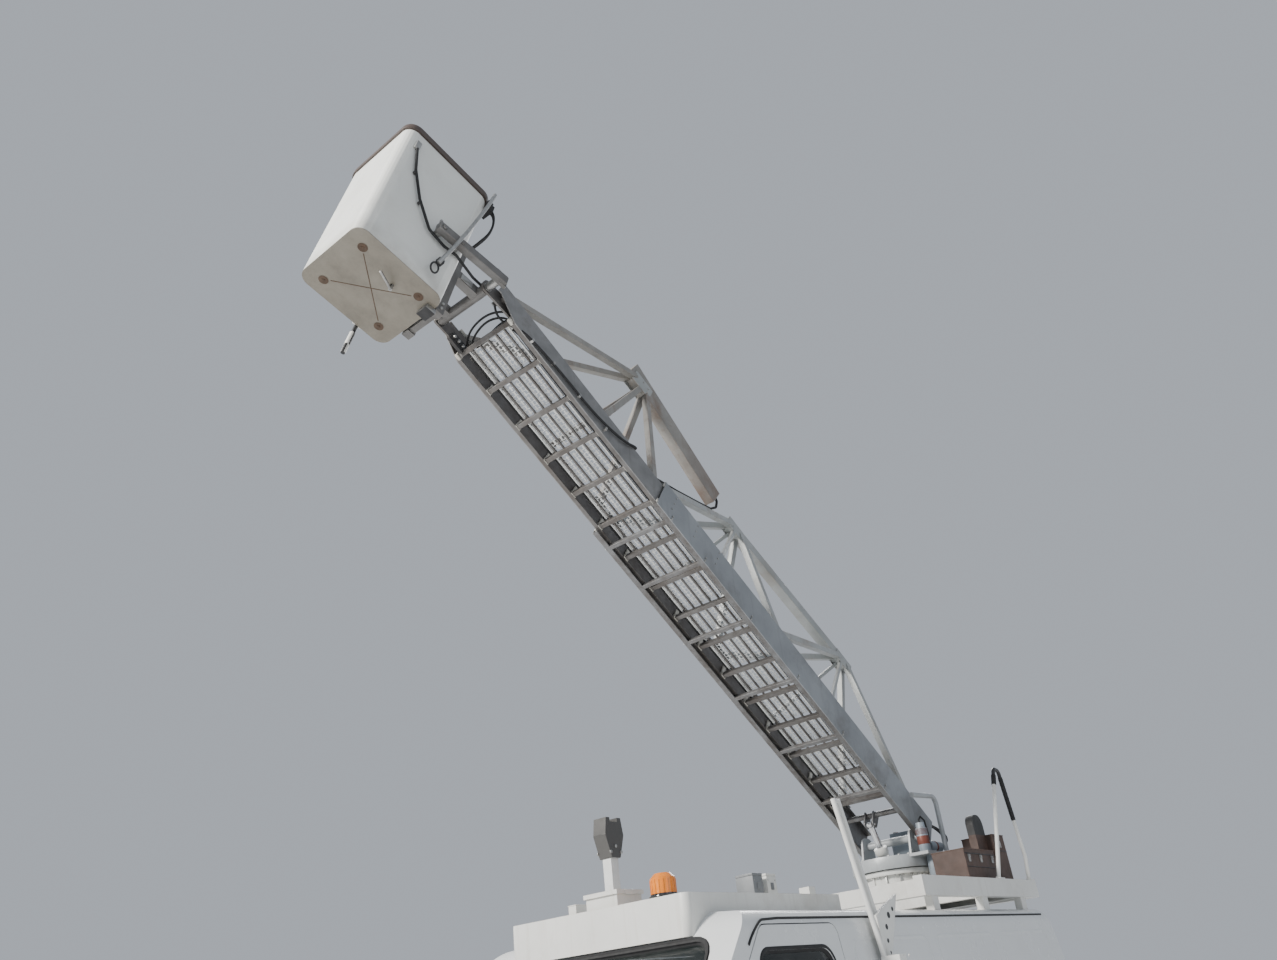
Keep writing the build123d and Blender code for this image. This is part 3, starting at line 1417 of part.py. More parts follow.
with BuildPart() as bucket_form:
    with BuildSketch(bucket_level_plane(0)):
        RectangleRounded(bucket_depth * bucket_taper, bucket_width * bucket_taper, bucket_corner)
    with BuildSketch(bucket_level_plane(bucket_height)):
        RectangleRounded(bucket_depth, bucket_width, bucket_corner)
    loft()
with BuildPart() as bucket_room:
    with BuildSketch(bucket_level_plane(bucket_wall)):
        RectangleRounded(
            bucket_depth * bucket_taper - 2 * bucket_wall,
            bucket_width * bucket_taper - 2 * bucket_wall,
            bucket_corner - bucket_wall,
        )
    with BuildSketch(bucket_level_plane(bucket_height + 1)):
        RectangleRounded(bucket_depth - 2 * bucket_wall, bucket_width - 2 * bucket_wall, bucket_corner - bucket_wall)
    loft()
rim_width = 22
with BuildPart() as bucket:
    add(bucket_form.part)
    with BuildSketch(bucket_level_plane(bucket_height - 42)) as rim:
        RectangleRounded(bucket_depth + rim_width, bucket_width + rim_width, bucket_corner + rim_width / 2)
    extrude(rim.sketch, amount=42)
    add(bucket_room.part, mode=Mode.SUBTRACT)

mast_x = -372
mast_depth = 55
mast_y = 130
bucket_axes = Plane(origin=bucket_foot, x_dir=bucket_forward, z_dir=(0, -1, 0))
with BuildPart() as bucket_carrier:
    with BuildSketch(bucket_axes.offset(-210)) as pivot_tube:
        with Locations((pivot_x, pivot_z)):
            Circle(35)
    extrude(pivot_tube.sketch, amount=420)
    with BuildSketch(bucket_axes.offset(-lug_c - 12)) as pivot_pin:
        with Locations((pivot_x, pivot_z)):
            Circle(anchor_radius)
    extrude(pivot_pin.sketch, amount=2 * lug_c + 24)
    for side in (1, -1):
        with BuildSketch(bucket_axes.offset(side * mast_y - 30)) as arm:
            with Locations((mast_x, 400)):
                Rectangle(mast_depth, 700)
            with Locations(((pivot_x + mast_x) / 2, pivot_z)):
                Rectangle(mast_x - pivot_x, 64)
            for pad_z in (110, 690):
                with Locations((mast_x + 45, pad_z)):
                    Rectangle(60, 70)
        extrude(arm.sketch, amount=60)
    with BuildSketch(bucket_axes.offset(-mast_y)) as ties:
        for tie_z in (90, 400, 710):
            with Locations((mast_x, tie_z)):
                Rectangle(40, 60)
    extrude(ties.sketch, amount=2 * mast_y)
    add(bucket_form.part, mode=Mode.SUBTRACT)

# Hose clipped to the bucket's left wall, which ends above the pivot tube.
# Columns: X, Y and Z of the bucket frame.
bucket_hose_points = [
    (236, 322, 900),
    (185, 322, 723),
    (87, 324, 525),
    (-43, 324, 365),
    (-165, 322, 345),
    (-262, 322, 362),
    (-352, 275, 405),
    (-470, 200, 482),
    (-560, 172, 520),
]
with BuildPart() as bucket_hose:
    bent_tube(
        [bucket_foot + bucket_forward * x + Vector(0, y, 0) + bucket_up * z for x, y, z in bucket_hose_points],
        50,
        hose_radius - 1,
    )
    add(bucket.part, mode=Mode.SUBTRACT)
    add(bucket_carrier.part, mode=Mode.SUBTRACT)

# Save every piece, shifted so that the whole truck stands over the frame's origin.
pieces = {
    "body_shell": body_shell,
    "floor_pan": floor_pan,
    "front_clip": front_clip,
    "windshield": windshield,
    "grille": grille,
    "head_lamps": head_lamps,
    "tail_lamps": tail_lamps,
    "front_bumper": front_bumper,
    "rear_bumper": rear_bumper,
    "hood": hood,
    "front_left_door": front_left_door,
    "front_left_glass": front_left_glass,
    "left_mirror": left_mirror,
    "front_right_door": front_right_door,
    "front_right_glass": front_right_glass,
    "right_mirror": right_mirror,
    "side_front_door": side_front_door,
    "side_rear_door": side_rear_door,
    "rear_left_door": rear_left_door,
    "rear_left_glass": rear_left_glass,
    "rear_ladder": rear_ladder,
    "rear_right_door": rear_right_door,
    "rear_right_glass": rear_right_glass,
    "dashboard": dashboard,
    "seats": seats,
    "chassis_frame": chassis_frame,
    "engine": engine,
    "drive_line": drive_line,
    "fuel_tank": fuel_tank,
    "front_suspension": front_suspension,
    "left_knuckle": left_knuckle,
    "right_knuckle": right_knuckle,
    "rear_axle": rear_axle,
    "front_left_tyre": front_left_tyre,
    "front_right_tyre": front_right_tyre,
    "rear_left_tyre": rear_left_tyre,
    "rear_right_tyre": rear_right_tyre,
    "front_left_rim": front_left_rim,
    "front_right_rim": front_right_rim,
    "rear_left_rim": rear_left_rim,
    "rear_right_rim": rear_right_rim,
    "roof_frame": roof_frame,
    "roof_deck": roof_deck,
    "beacon": beacon,
    "boom_rest": boom_rest,
    "hand_rails": hand_rails,
    "tool_box": tool_box,
    "turntable": turntable,
    "turret_gear": turret_gear,
    "lift_cylinder": lift_cylinder,
    "lift_rod": lift_rod,
    "base_boom": base_boom,
    "base_truss": base_truss,
    "fly_boom": fly_boom,
    "fly_truss": fly_truss,
    "bucket": bucket,
    "bucket_carrier": bucket_carrier,
    "fly_hose": fly_hose,
    "bucket_hose": bucket_hose,
}
boxes = [piece.part.bounding_box() for piece in pieces.values()]
shift_x = -(min(box.min.X for box in boxes) + max(box.max.X for box in boxes)) / 2
shift_y = -(min(box.min.Y for box in boxes) + max(box.max.Y for box in boxes)) / 2
shift_z = -min(box.min.Z for box in boxes)
print("shift", round(shift_x, 3), round(shift_y, 3), round(shift_z, 3))
for label, piece in pieces.items():
    moved = piece.part.moved(Location((shift_x, shift_y, shift_z)))
    moved.label = label
    export_step(moved, "parts/" + label + ".step")
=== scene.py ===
import bpy
import bmesh
from math import atan2, cos, exp, hypot, pi, radians, sin, tan
from mathutils import Matrix, Vector
from mathutils.bvhtree import BVHTree


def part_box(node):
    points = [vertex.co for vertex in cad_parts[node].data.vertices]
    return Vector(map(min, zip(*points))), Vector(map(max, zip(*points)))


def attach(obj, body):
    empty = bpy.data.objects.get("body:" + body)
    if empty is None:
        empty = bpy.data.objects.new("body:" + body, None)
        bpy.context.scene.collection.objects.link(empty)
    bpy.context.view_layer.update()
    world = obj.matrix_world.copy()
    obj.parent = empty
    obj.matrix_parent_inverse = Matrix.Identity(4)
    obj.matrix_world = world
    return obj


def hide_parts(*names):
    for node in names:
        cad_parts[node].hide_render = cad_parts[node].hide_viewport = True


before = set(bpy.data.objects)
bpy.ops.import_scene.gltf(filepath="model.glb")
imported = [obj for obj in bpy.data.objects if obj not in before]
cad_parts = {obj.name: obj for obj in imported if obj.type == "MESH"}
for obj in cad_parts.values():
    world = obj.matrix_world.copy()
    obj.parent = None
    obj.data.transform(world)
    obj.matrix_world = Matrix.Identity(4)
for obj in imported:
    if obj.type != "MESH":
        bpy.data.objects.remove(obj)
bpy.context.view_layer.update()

# Camera, light and floor. The camera stands where the photograph was taken, low
# at the van's left front, looking up along the raised boom.
frame_low, frame_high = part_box("chassis_frame")
middle_x = (frame_low.x + frame_high.x) / 2


def at(x, y, z):
    """A point given in the van's millimetres, in the row frame."""
    return Vector((middle_x + x / 1000, y / 1000, z / 1000))


def look(yaw, pitch, roll):
    """The turn of a camera that looks along a yaw, pitch and roll in degrees."""
    level = cos(radians(pitch))
    forward = Vector((level * cos(radians(yaw)), level * sin(radians(yaw)), sin(radians(pitch))))
    right = Vector((sin(radians(yaw)), -cos(radians(yaw)), 0))
    up = right.cross(forward)
    across = cos(radians(roll)) * right + sin(radians(roll)) * up
    upward = -sin(radians(roll)) * right + cos(radians(roll)) * up
    return Matrix((across, upward, -forward)).transposed()


eye = bpy.data.cameras.new("photo_camera")
eye.sensor_width = 36
eye.lens = 28.156
eye.clip_end = 200
camera = bpy.data.objects.new("photo_camera", eye)
bpy.context.scene.collection.objects.link(camera)
camera.matrix_world = Matrix.Translation(at(5511, 3810, 1635)) @ look(-142.829, 28.114, -6.884).to_4x4()
bpy.context.scene.camera = camera


def node_tree(name):
    """A new material with its tree, shader and object coordinates."""
    made = bpy.data.materials.new(name)
    made.use_nodes = True
    tree = made.node_tree
    shader = tree.nodes["Principled BSDF"]
    place = tree.nodes.new("ShaderNodeTexCoord").outputs["Object"]
    return made, tree, shader, place


def scaled(tree, place, scale):
    """The coordinates stretched along each axis."""
    mapping = tree.nodes.new("ShaderNodeMapping")
    mapping.inputs["Scale"].default_value = scale
    tree.links.new(place, mapping.inputs["Vector"])
    return mapping.outputs["Vector"]


def cloud(tree, place, scale, detail=6, rough=0.6):
    """A noise between 0 and 1."""
    node = tree.nodes.new("ShaderNodeTexNoise")
    node.inputs["Scale"].default_value = scale
    node.inputs["Detail"].default_value = detail
    node.inputs["Roughness"].default_value = rough
    tree.links.new(place, node.inputs["Vector"])
    return node.outputs["Fac"]


def span(tree, value, low, high, to_low=0.0, to_high=1.0):
    """A value moved from one range to another and clamped."""
    node = tree.nodes.new("ShaderNodeMapRange")
    node.inputs["From Min"].default_value = low
    node.inputs["From Max"].default_value = high
    node.inputs["To Min"].default_value = to_low
    node.inputs["To Max"].default_value = to_high
    tree.links.new(value, node.inputs["Value"])
    return node.outputs["Result"]


def sums(tree, kind, first, second, clamp=True):
    """Two values put together by a sum, product or other operation."""
    node = tree.nodes.new("ShaderNodeMath")
    node.operation = kind
    node.use_clamp = clamp
    for socket, value in zip(node.inputs, (first, second)):
        if isinstance(value, (int, float)):
            socket.default_value = value
        else:
            tree.links.new(value, socket)
    return node.outputs["Value"]


def layer(tree, under, over, mask):
    """One colour laid over another through a mask; colours are sockets or triples."""
    node = tree.nodes.new("ShaderNodeMix")
    node.data_type = "RGBA"
    for socket, value in ((node.inputs[0], mask), (node.inputs[6], under), (node.inputs[7], over)):
        if isinstance(value, tuple):
            socket.default_value = (*value, 1)
        elif isinstance(value, (int, float)):
            socket.default_value = value
        else:
            tree.links.new(value, socket)
    return node.outputs[2]


def finish(name, base, rough=0.5, metal=0.0, vary=0.08, grain=4.0, soil=0.0, soil_color=(0.20, 0.17, 0.13),
           soil_grain=2.2, streak=0.0, bump=0.0, bump_grain=250.0, wear=0.0, wear_color=(0.30, 0.29, 0.28),
           low_soil=0.0, coat=0.0):
    """A worn surface: colour that varies, soil in clouds and streaks, bare edges and a fine bump."""
    made, tree, shader, place = node_tree(name)
    tone = span(tree, cloud(tree, place, grain), 0.3, 0.7)
    dark = tuple(c * (1 - vary) for c in base)
    light = tuple(min(1.0, c * (1 + vary)) for c in base)
    color = layer(tree, dark, light, tone)
    roughness = span(tree, cloud(tree, place, grain * 3.1), 0.3, 0.7, max(rough - 0.08, 0.02), rough + 0.08)
    if soil > 0:
        mask = span(tree, cloud(tree, place, soil_grain, 9, 0.68), 0.52, 0.74, 0.0, soil)
        color = layer(tree, color, soil_color, mask)
    if streak > 0:
        runs = cloud(tree, scaled(tree, place, (1, 1, 0.06)), 26, 7, 0.6)
        color = layer(tree, color, soil_color, span(tree, runs, 0.56, 0.80, 0.0, streak))
    if low_soil > 0:
        height = tree.nodes.new("ShaderNodeSeparateXYZ")
        tree.links.new(place, height.inputs["Vector"])
        band = span(tree, height.outputs["Z"], 0.95, 0.42, 0.0, low_soil)
        patches = span(tree, cloud(tree, place, 9, 8, 0.7), 0.35, 0.65, 0.25, 1.0)
        mask = sums(tree, "MULTIPLY", band, patches)
        color = layer(tree, color, soil_color, mask)
    if wear > 0:
        edge = tree.nodes.new("ShaderNodeBevel")
        edge.samples = 4
        edge.inputs["Radius"].default_value = 0.006
        plain = tree.nodes.new("ShaderNodeNewGeometry")
        dot = tree.nodes.new("ShaderNodeVectorMath")
        dot.operation = "DOT_PRODUCT"
        tree.links.new(edge.outputs["Normal"], dot.inputs[0])
        tree.links.new(plain.outputs["Normal"], dot.inputs[1])
        bare = span(tree, dot.outputs["Value"], 0.98, 0.86)
        patches = span(tree, cloud(tree, place, 17, 8, 0.7), 0.42, 0.60, 0.0, wear)
        mask = sums(tree, "MULTIPLY", bare, patches)
        color = layer(tree, color, wear_color, mask)
    tree.links.new(color, shader.inputs["Base Color"])
    tree.links.new(roughness, shader.inputs["Roughness"])
    shader.inputs["Metallic"].default_value = metal
    shader.inputs["Coat Weight"].default_value = coat
    if bump > 0:
        relief = tree.nodes.new("ShaderNodeBump")
        relief.inputs["Strength"].default_value = bump
        relief.inputs["Distance"].default_value = 0.002
        tree.links.new(cloud(tree, place, bump_grain, 4, 0.55), relief.inputs["Height"])
        tree.links.new(relief.outputs["Normal"], shader.inputs["Normal"])
    return made


floor_data = bpy.data.meshes.new("floor")
floor_form = bmesh.new()
bmesh.ops.create_grid(floor_form, x_segments=1, y_segments=1, size=60)
floor_form.to_mesh(floor_data)
floor_form.free()
floor = bpy.data.objects.new("floor", floor_data)
bpy.context.scene.collection.objects.link(floor)
floor_data.materials.append(finish("floor_pale", (0.80, 0.80, 0.80), 0.75, vary=0.02, grain=0.6))

world = bpy.data.worlds.new("studio")
world.use_nodes = True
world.node_tree.nodes["Background"].inputs["Color"].default_value = (0.80, 0.86, 0.95, 1)
world.node_tree.nodes["Background"].inputs["Strength"].default_value = 0.55
bpy.context.scene.world = world
for lamp_name, place, size, power, tint in (
    ("key_light", (13.0, -4.0, 11.0), 3.0, 4300, (1.0, 0.97, 0.92)),
    ("fill_light", (2.0, 13.0, 6.0), 9.0, 170, (0.90, 0.95, 1.0)),
    ("back_light", (-11.0, -5.0, 10.0), 6.0, 900, (1.0, 1.0, 1.0)),
):
    lamp = bpy.data.lights.new(lamp_name, "AREA")
    lamp.size = size
    lamp.energy = power
    lamp.color = tint
    lamp_object = bpy.data.objects.new(lamp_name, lamp)
    bpy.context.scene.collection.objects.link(lamp_object)
    lamp_object.location = place
    lamp_object.rotation_euler = (Vector((0, 0, 2.5)) - Vector(place)).to_track_quat("-Z", "Y").to_euler()

# Boom rails: two welded aluminium channels with rounded edges, rows of bolts where the
# pads and cross members are fixed, and dull grey streaks where rain has run down.
def along_axis(tree, place, origin, axis):
    """How far a point lies from an origin along an axis, in metres."""
    less = tree.nodes.new("ShaderNodeVectorMath")
    less.operation = "SUBTRACT"
    less.inputs[1].default_value = origin
    tree.links.new(place, less.inputs[0])
    dot = tree.nodes.new("ShaderNodeVectorMath")
    dot.operation = "DOT_PRODUCT"
    dot.inputs[1].default_value = axis
    tree.links.new(less.outputs["Vector"], dot.inputs[0])
    return dot.outputs["Value"]


def overlay(made, color, origin, axis, low, high, breakup=0.0, amount=1.0, grain=6.0):
    """Lays a second colour over a material where a point lies between two distances along an axis."""
    tree = made.node_tree
    shader = tree.nodes["Principled BSDF"]
    place = tree.nodes["Texture Coordinate"].outputs["Object"]
    mask = span(tree, along_axis(tree, place, origin, axis), low, high, 0.0, amount)
    if breakup > 0:
        patches = cloud(tree, place, grain, 8, 0.7)
        patches = span(tree, patches, 0.5 - breakup / 2, 0.5 + breakup / 2, 0.15, 1.0)
        mask = sums(tree, "MULTIPLY", mask, patches)
    source = shader.inputs["Base Color"].links[0].from_socket
    tree.links.new(layer(tree, source, color, mask), shader.inputs["Base Color"])


def between(made, color, origin, axis, half, amount=1.0, grain=6.0):
    """Lays a second colour over a material where a point lies within a distance of a plane."""
    tree = made.node_tree
    shader = tree.nodes["Principled BSDF"]
    place = tree.nodes["Texture Coordinate"].outputs["Object"]
    away = sums(tree, "ABSOLUTE", along_axis(tree, place, origin, axis), 0.0, False)
    mask = span(tree, away, half + 0.001, half - 0.001, 0.0, amount)
    patches = span(tree, cloud(tree, place, grain, 8, 0.7), 0.35, 0.62, 0.45, 1.0)
    mask = sums(tree, "MULTIPLY", mask, patches)
    source = shader.inputs["Base Color"].links[0].from_socket
    tree.links.new(layer(tree, source, color, mask), shader.inputs["Base Color"])


def wear_node(node, material, bevel=0.0):
    """Gives a CAD node its material and, if asked, small rounded edges."""
    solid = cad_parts[node]
    solid.data.materials.clear()
    solid.data.materials.append(material)
    if bevel > 0:
        weld = solid.modifiers.new("weld", "WELD")
        weld.merge_threshold = 0.00005
        round_over = solid.modifiers.new("bevel", "BEVEL")
        round_over.width = bevel
        round_over.segments = 2
        round_over.limit_method = "ANGLE"
        round_over.angle_limit = radians(35)
        round_over.harden_normals = True


boom_aluminium = finish("boom_aluminium", (0.30, 0.315, 0.33), 0.42, 0.55, vary=0.16, grain=2.5, soil=0.6,
                        soil_color=(0.12, 0.105, 0.09), streak=0.30, bump=0.12, bump_grain=160, wear=0.5,
                        wear_color=(0.60, 0.60, 0.58))
truss_paint = finish("truss_paint", (0.37, 0.385, 0.38), 0.45, 0.35, vary=0.14, grain=5, soil=0.6,
                     soil_color=(0.24, 0.19, 0.14), streak=0.2, bump=0.1, wear=0.6,
                     wear_color=(0.36, 0.24, 0.16))
dark_steel = finish("dark_steel", (0.04, 0.04, 0.042), 0.5, 0.4, vary=0.3, grain=12, soil=0.3,
                    soil_color=(0.12, 0.095, 0.075), bump=0.2, wear=0.25, wear_color=(0.16, 0.15, 0.14))
zinc = finish("zinc_bolts", (0.42, 0.42, 0.41), 0.42, 0.85, vary=0.2, grain=30, soil=0.4,
              soil_color=(0.25, 0.20, 0.15), bump=0.1)
ladder_aluminium = finish("ladder_aluminium", (0.25, 0.25, 0.25), 0.46, 0.5, vary=0.25, grain=5, soil=0.8,
                          soil_color=(0.075, 0.06, 0.05), soil_grain=5, streak=0.35, bump=0.12,
                          bump_grain=160, wear=0.6, wear_color=(0.50, 0.49, 0.46))
wear_node("base_boom", boom_aluminium, 0.003)
wear_node("fly_boom", ladder_aluminium, 0.002)
wear_node("base_truss", truss_paint, 0.005)

# Painted shade: the inner faces of both ladders' rails, and the rungs between them, are darkened brown in
# patches.
rail_inside_painted_shade = (0.085, 0.07, 0.06)
between(boom_aluminium, rail_inside_painted_shade, (0, 0, 0), (0, 1, 0), 0.292, 0.85)
between(ladder_aluminium, rail_inside_painted_shade, (0, 0, 0), (0, 1, 0), 0.268, 0.8)
boom_turn = radians(34.6)
along = Vector((cos(boom_turn), 0, sin(boom_turn)))
square = Vector((-sin(boom_turn), 0, cos(boom_turn)))
left = Vector((0, 1, 0))
boom_axes = (along, left, square)
pin_x = -2240
pin_z = 2642
lift_pin = at(pin_x, 0, pin_z)


def on_boom(s, c, n):
    """A point along, across and square to the boom, in millimetres from the lift pin."""
    return lift_pin + along * (s / 1000) + left * (c / 1000) + square * (n / 1000)


def paint(form, first_face, slot_index):
    """Gives the faces that were added after a count their material."""
    form.faces.ensure_lookup_table()
    for face in form.faces[first_face:]:
        face.material_index = slot_index


def block(form, centre, axes, size, slot_index=0):
    """Adds a box with its centre, three axes and full sizes in millimetres."""
    first = len(form.faces)
    turn = Matrix(axes).transposed().to_4x4()
    stretch = Matrix.Diagonal((size[0] / 1000, size[1] / 1000, size[2] / 1000, 1))
    bmesh.ops.create_cube(form, size=1, matrix=Matrix.Translation(centre) @ turn @ stretch)
    paint(form, first, slot_index)


def drum(form, centre, axis, radius, length, sides=20, slot_index=0, taper=1.0):
    """Adds a round bar from its middle, its axis, radius and length in millimetres."""
    first = len(form.faces)
    turn = axis.to_track_quat("Z", "Y").to_matrix().to_4x4()
    bmesh.ops.create_cone(form, cap_ends=True, segments=sides, radius1=radius / 1000,
                          radius2=radius * taper / 1000, depth=length / 1000,
                          matrix=Matrix.Translation(centre) @ turn)
    paint(form, first, slot_index)


def piece(name, form, body, materials, edge=0.0, smooth=35):
    """Turns a form into an object that rides on a body, with rounded edges if asked."""
    bmesh.ops.recalc_face_normals(form, faces=form.faces[:])
    if edge > 0:
        sharp = [e for e in form.edges if len(e.link_faces) == 2 and e.calc_face_angle(0) > radians(30)]
        bmesh.ops.bevel(form, geom=sharp, offset=edge, offset_type="OFFSET", affect="EDGES", segments=2,
                        profile=0.5, material=-1, clamp_overlap=True)
    data = bpy.data.meshes.new(name)
    form.to_mesh(data)
    form.free()
    made = bpy.data.objects.new(name, data)
    bpy.context.scene.collection.objects.link(made)
    for material in materials:
        data.materials.append(material)
    data.polygons.foreach_set("use_smooth", [True] * len(data.polygons))
    data.set_sharp_from_angle(angle=radians(smooth))
    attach(made, body)
    return made


rail_side = 297
bolts = bmesh.new()
for side in (1, -1):
    for s in (600, 1210, 1820, 2430, 3000, 3390):
        for n in (-22, 4):
            drum(bolts, on_boom(s, side * (rail_side + 3), n), left, 9, 6, 6)
            drum(bolts, on_boom(s, side * (rail_side + 7), n), left, 6, 4, 12)
    for s in (2900, 3160, 3420):
        for n in (60, 120, 180):
            drum(bolts, on_boom(s, side * (rail_side + 2), n), left, 7, 5, 6)
piece("rail_bolts", bolts, "base_section", [zinc], smooth=30)

# Wear pads: white plastic blocks that guide the inner ladder in the base's rails, screwed
# on from outside and scuffed grey where the rails slide.
pad_plastic = finish("pad_plastic", (0.62, 0.61, 0.56), 0.5, vary=0.15, grain=20, soil=0.6, bump=0.1)
pads = bmesh.new()
for side in (1, -1):
    for s in (3500, 2700, 1900):
        block(pads, on_boom(s, side * 282, 190), boom_axes, (110, 11, 28))
        block(pads, on_boom(s, side * 282, 10), boom_axes, (110, 11, 28))
piece("wear_pads", pads, "base_section", [pad_plastic], edge=0.0015)

# Deck: expanded steel mesh between the rungs with a thin strip along each side, and light
# painted brackets welded on at the rungs' ends, dusty from below.
mesh_steel = finish("mesh_steel", (0.72, 0.73, 0.72), 0.5, 0.2, vary=0.15, grain=14, soil=0.35, bump=0.1)
bracket_paint = finish("bracket_paint", (0.60, 0.58, 0.52), 0.55, 0.3, vary=0.2, grain=9, soil=0.6,
                       wear=0.5)
rung_s = [500 + 305 * i for i in range(16)]
deck_low = 37
deck = bmesh.new()
for i in range(15):
    first, last = rung_s[i] + 18, rung_s[i + 1] - 18
    for row in range(12):
        c = -176 + row * 32
        shift = 20 * (row % 2)
        for step in range(7):
            s = first + 20 + shift + step * 40
            if s < last - 14:
                block(deck, on_boom(s, c, deck_low + 17), boom_axes, (33, 13, 4))
    columns = 9
    for column in range(columns):
        s = first + (column + 0.5) * (last - first) / columns
        block(deck, on_boom(s, 0, deck_low + 17), boom_axes, (5, 360, 3.4))
    for side in (1, -1):
        block(deck, on_boom((first + last) / 2, side * 180, deck_low + 16), boom_axes,
              (last - first, 10, 12))
piece("deck_mesh", deck, "fly_section", [mesh_steel])
brackets = bmesh.new()
for s in rung_s:
    for side in (1, -1):
        block(brackets, on_boom(s, side * 247, 22), boom_axes, (46, 22, 44))
        block(brackets, on_boom(s, side * 256, 60), boom_axes, (30, 14, 110))
        drum(brackets, on_boom(s, side * 232, 22), left, 9, 10, 6, 1)
piece("rung_brackets", brackets, "fly_section", [bracket_paint, zinc], edge=0.0012)

# Fly truss: painted square tube over the inner ladder. Its tail beam is the thick one,
# with a rounded end that has rusted brown; gusset plates close the corners.
rust_paint = finish("rust_paint", (0.29, 0.28, 0.26), 0.55, 0.3, vary=0.2, grain=4, soil=0.9,
                    soil_color=(0.17, 0.10, 0.065), soil_grain=3.5, streak=0.4, bump=0.25, bump_grain=120,
                    wear=0.7, wear_color=(0.30, 0.15, 0.08))
truss_tail = tuple(on_boom(3300, 0, 900))
overlay(rust_paint, (0.15, 0.085, 0.055), truss_tail, tuple(-along), -0.35, 0.45, 0.5, 0.85)
wear_node("fly_truss", rust_paint, 0.006)
gussets = bmesh.new()
for foot_s in (5130, 3640):
    for side in (1, -1):
        block(gussets, on_boom(foot_s, side * 239, 187), boom_axes, (120, 48, 5))
for side in (1, -1):
    block(gussets, on_boom(3960, side * 43, 1185), boom_axes, (210, 5, 110))
    for s, n in ((3890, 1160), (4030, 1200), (3960, 1215), (3900, 1205)):
        drum(gussets, on_boom(s, side * 48, n), left, 8, 6, 6)
piece("fly_gussets", gussets, "fly_section", [truss_paint], edge=0.001)
base_gussets = bmesh.new()
for foot_s in (3470, 2105, 330):
    for side in (1, -1):
        block(base_gussets, on_boom(foot_s, side * 268, 211), boom_axes, (170, 52, 5))
        for step in (-60, 60):
            drum(base_gussets, on_boom(foot_s + step, side * 268, 216), square, 8, 6, 6)
for s, n in ((2600, 995), (1016, 1072)):
    for side in (1, -1):
        block(base_gussets, on_boom(s, side * 40.5, n - 10), boom_axes, (230, 4, 90))
piece("base_gussets", base_gussets, "base_section", [truss_paint], edge=0.001)

# Hoses and leads of the ladder: black rubber hose clipped outside the left rail, two
# lines along the deck's edges and the loops at the tip that feed the bucket's valves.
black_rubber = finish("black_rubber", (0.018, 0.018, 0.019), 0.75, vary=0.2, grain=20, soil=0.12,
                      soil_color=(0.10, 0.09, 0.08), bump=0.1)


def tube(form, points, width, height=None, normals=None, sides=8, closed=False, slot_index=0):
    """Draws a ring along points in metres, round or flattened square to normals; sizes in millimetres."""
    height = width if height is None else height
    first = len(form.faces)
    count = len(points)
    places = []
    aside = None
    for i in range(count):
        ahead = points[(i + 1) % count] if closed or i < count - 1 else points[i]
        behind = points[i - 1] if closed or i > 0 else points[i]
        run = (ahead - behind).normalized()
        if normals:
            upward = (normals[i] - run * normals[i].dot(run)).normalized()
            across = upward.cross(run)
        else:
            aside = aside or run.orthogonal()
            aside = (aside - run * aside.dot(run)).normalized()
            across, upward = aside, run.cross(aside)
        turn = Matrix((across * width / 2000, upward * height / 2000, run)).transposed().to_4x4()
        places.append(Matrix.Translation(points[i]) @ turn @ Matrix.Rotation(pi / sides, 4, "Z"))
    circle = bmesh.ops.create_circle(form, cap_ends=not closed, segments=sides, radius=1, matrix=places[0])
    rim = list({edge for corner in circle["verts"] for edge in corner.link_edges})
    start_rim = rim
    for before, after in zip(places, places[1:]):
        drawn = bmesh.ops.extrude_edge_only(form, edges=rim)["geom"]
        corners = {part for part in drawn if isinstance(part, bmesh.types.BMVert)}
        rim = [part for part in drawn
               if isinstance(part, bmesh.types.BMEdge) and corners.issuperset(part.verts)]
        bmesh.ops.transform(form, matrix=after @ before.inverted(), verts=list(corners))
    if closed:
        bmesh.ops.bridge_loops(form, edges=start_rim + rim)
    else:
        bmesh.ops.holes_fill(form, edges=rim, sides=0)
    paint(form, first, slot_index)


def bend(points, rounds=3):
    """A smooth run through the corners of a hose, by cutting its corners again and again."""
    for _ in range(rounds):
        cut = [points[0]]
        for one, two in zip(points, points[1:]):
            cut += [one.lerp(two, 0.25), one.lerp(two, 0.75)]
        points = cut + [points[-1]]
    return points


outer_hose = ((3885, 192, 206), (3868, 245, 222), (3878, 290, 196), (3990, 290, 112), (4278, 288, 44),
              (4581, 288, 42), (4807, 287, 24), (4940, 287, 6), (5010, 262, 10), (5052, 200, 52))
deck_lines = (((4980, -204, 62), (4700, -200, 56), (2700, -200, 56), (560, -200, 56)),
              ((4980, 203, 62), (4700, 199, 56), (3900, 199, 56), (560, 199, 56)))
tip_loops = (
    ((5040, 186, 66), (5100, 180, 40), (5160, 186, 28), (5215, 200, 60)),
    ((5000, -204, 60), (5100, -170, 122), (5150, 0, 148), (5110, 150, 132), (5030, 204, 92)),
    ((5090, -200, 90), (5160, -140, 150), (5180, 40, 168), (5120, 190, 150), (5060, 208, 120)),
    ((5030, -190, 150), (5060, -60, 205), (5080, 90, 200), (5040, 200, 150)),
)
hoses = bmesh.new()
for rows, thick in ((outer_hose, 18), *((rows, 17) for rows in deck_lines),
                    *((rows, 15) for rows in tip_loops)):
    tube(hoses, bend([on_boom(*row) for row in rows]), thick, thick, None, 8)
for s in (4150, 4430, 4700, 4900):
    block(hoses, on_boom(s, 285, 42 if s < 4800 else 14), boom_axes, (16, 22, 26), 1)
for s in rung_s[:-1]:
    for side in (1, -1):
        block(hoses, on_boom(s, side * 200, 54), boom_axes, (14, 26, 24), 1)
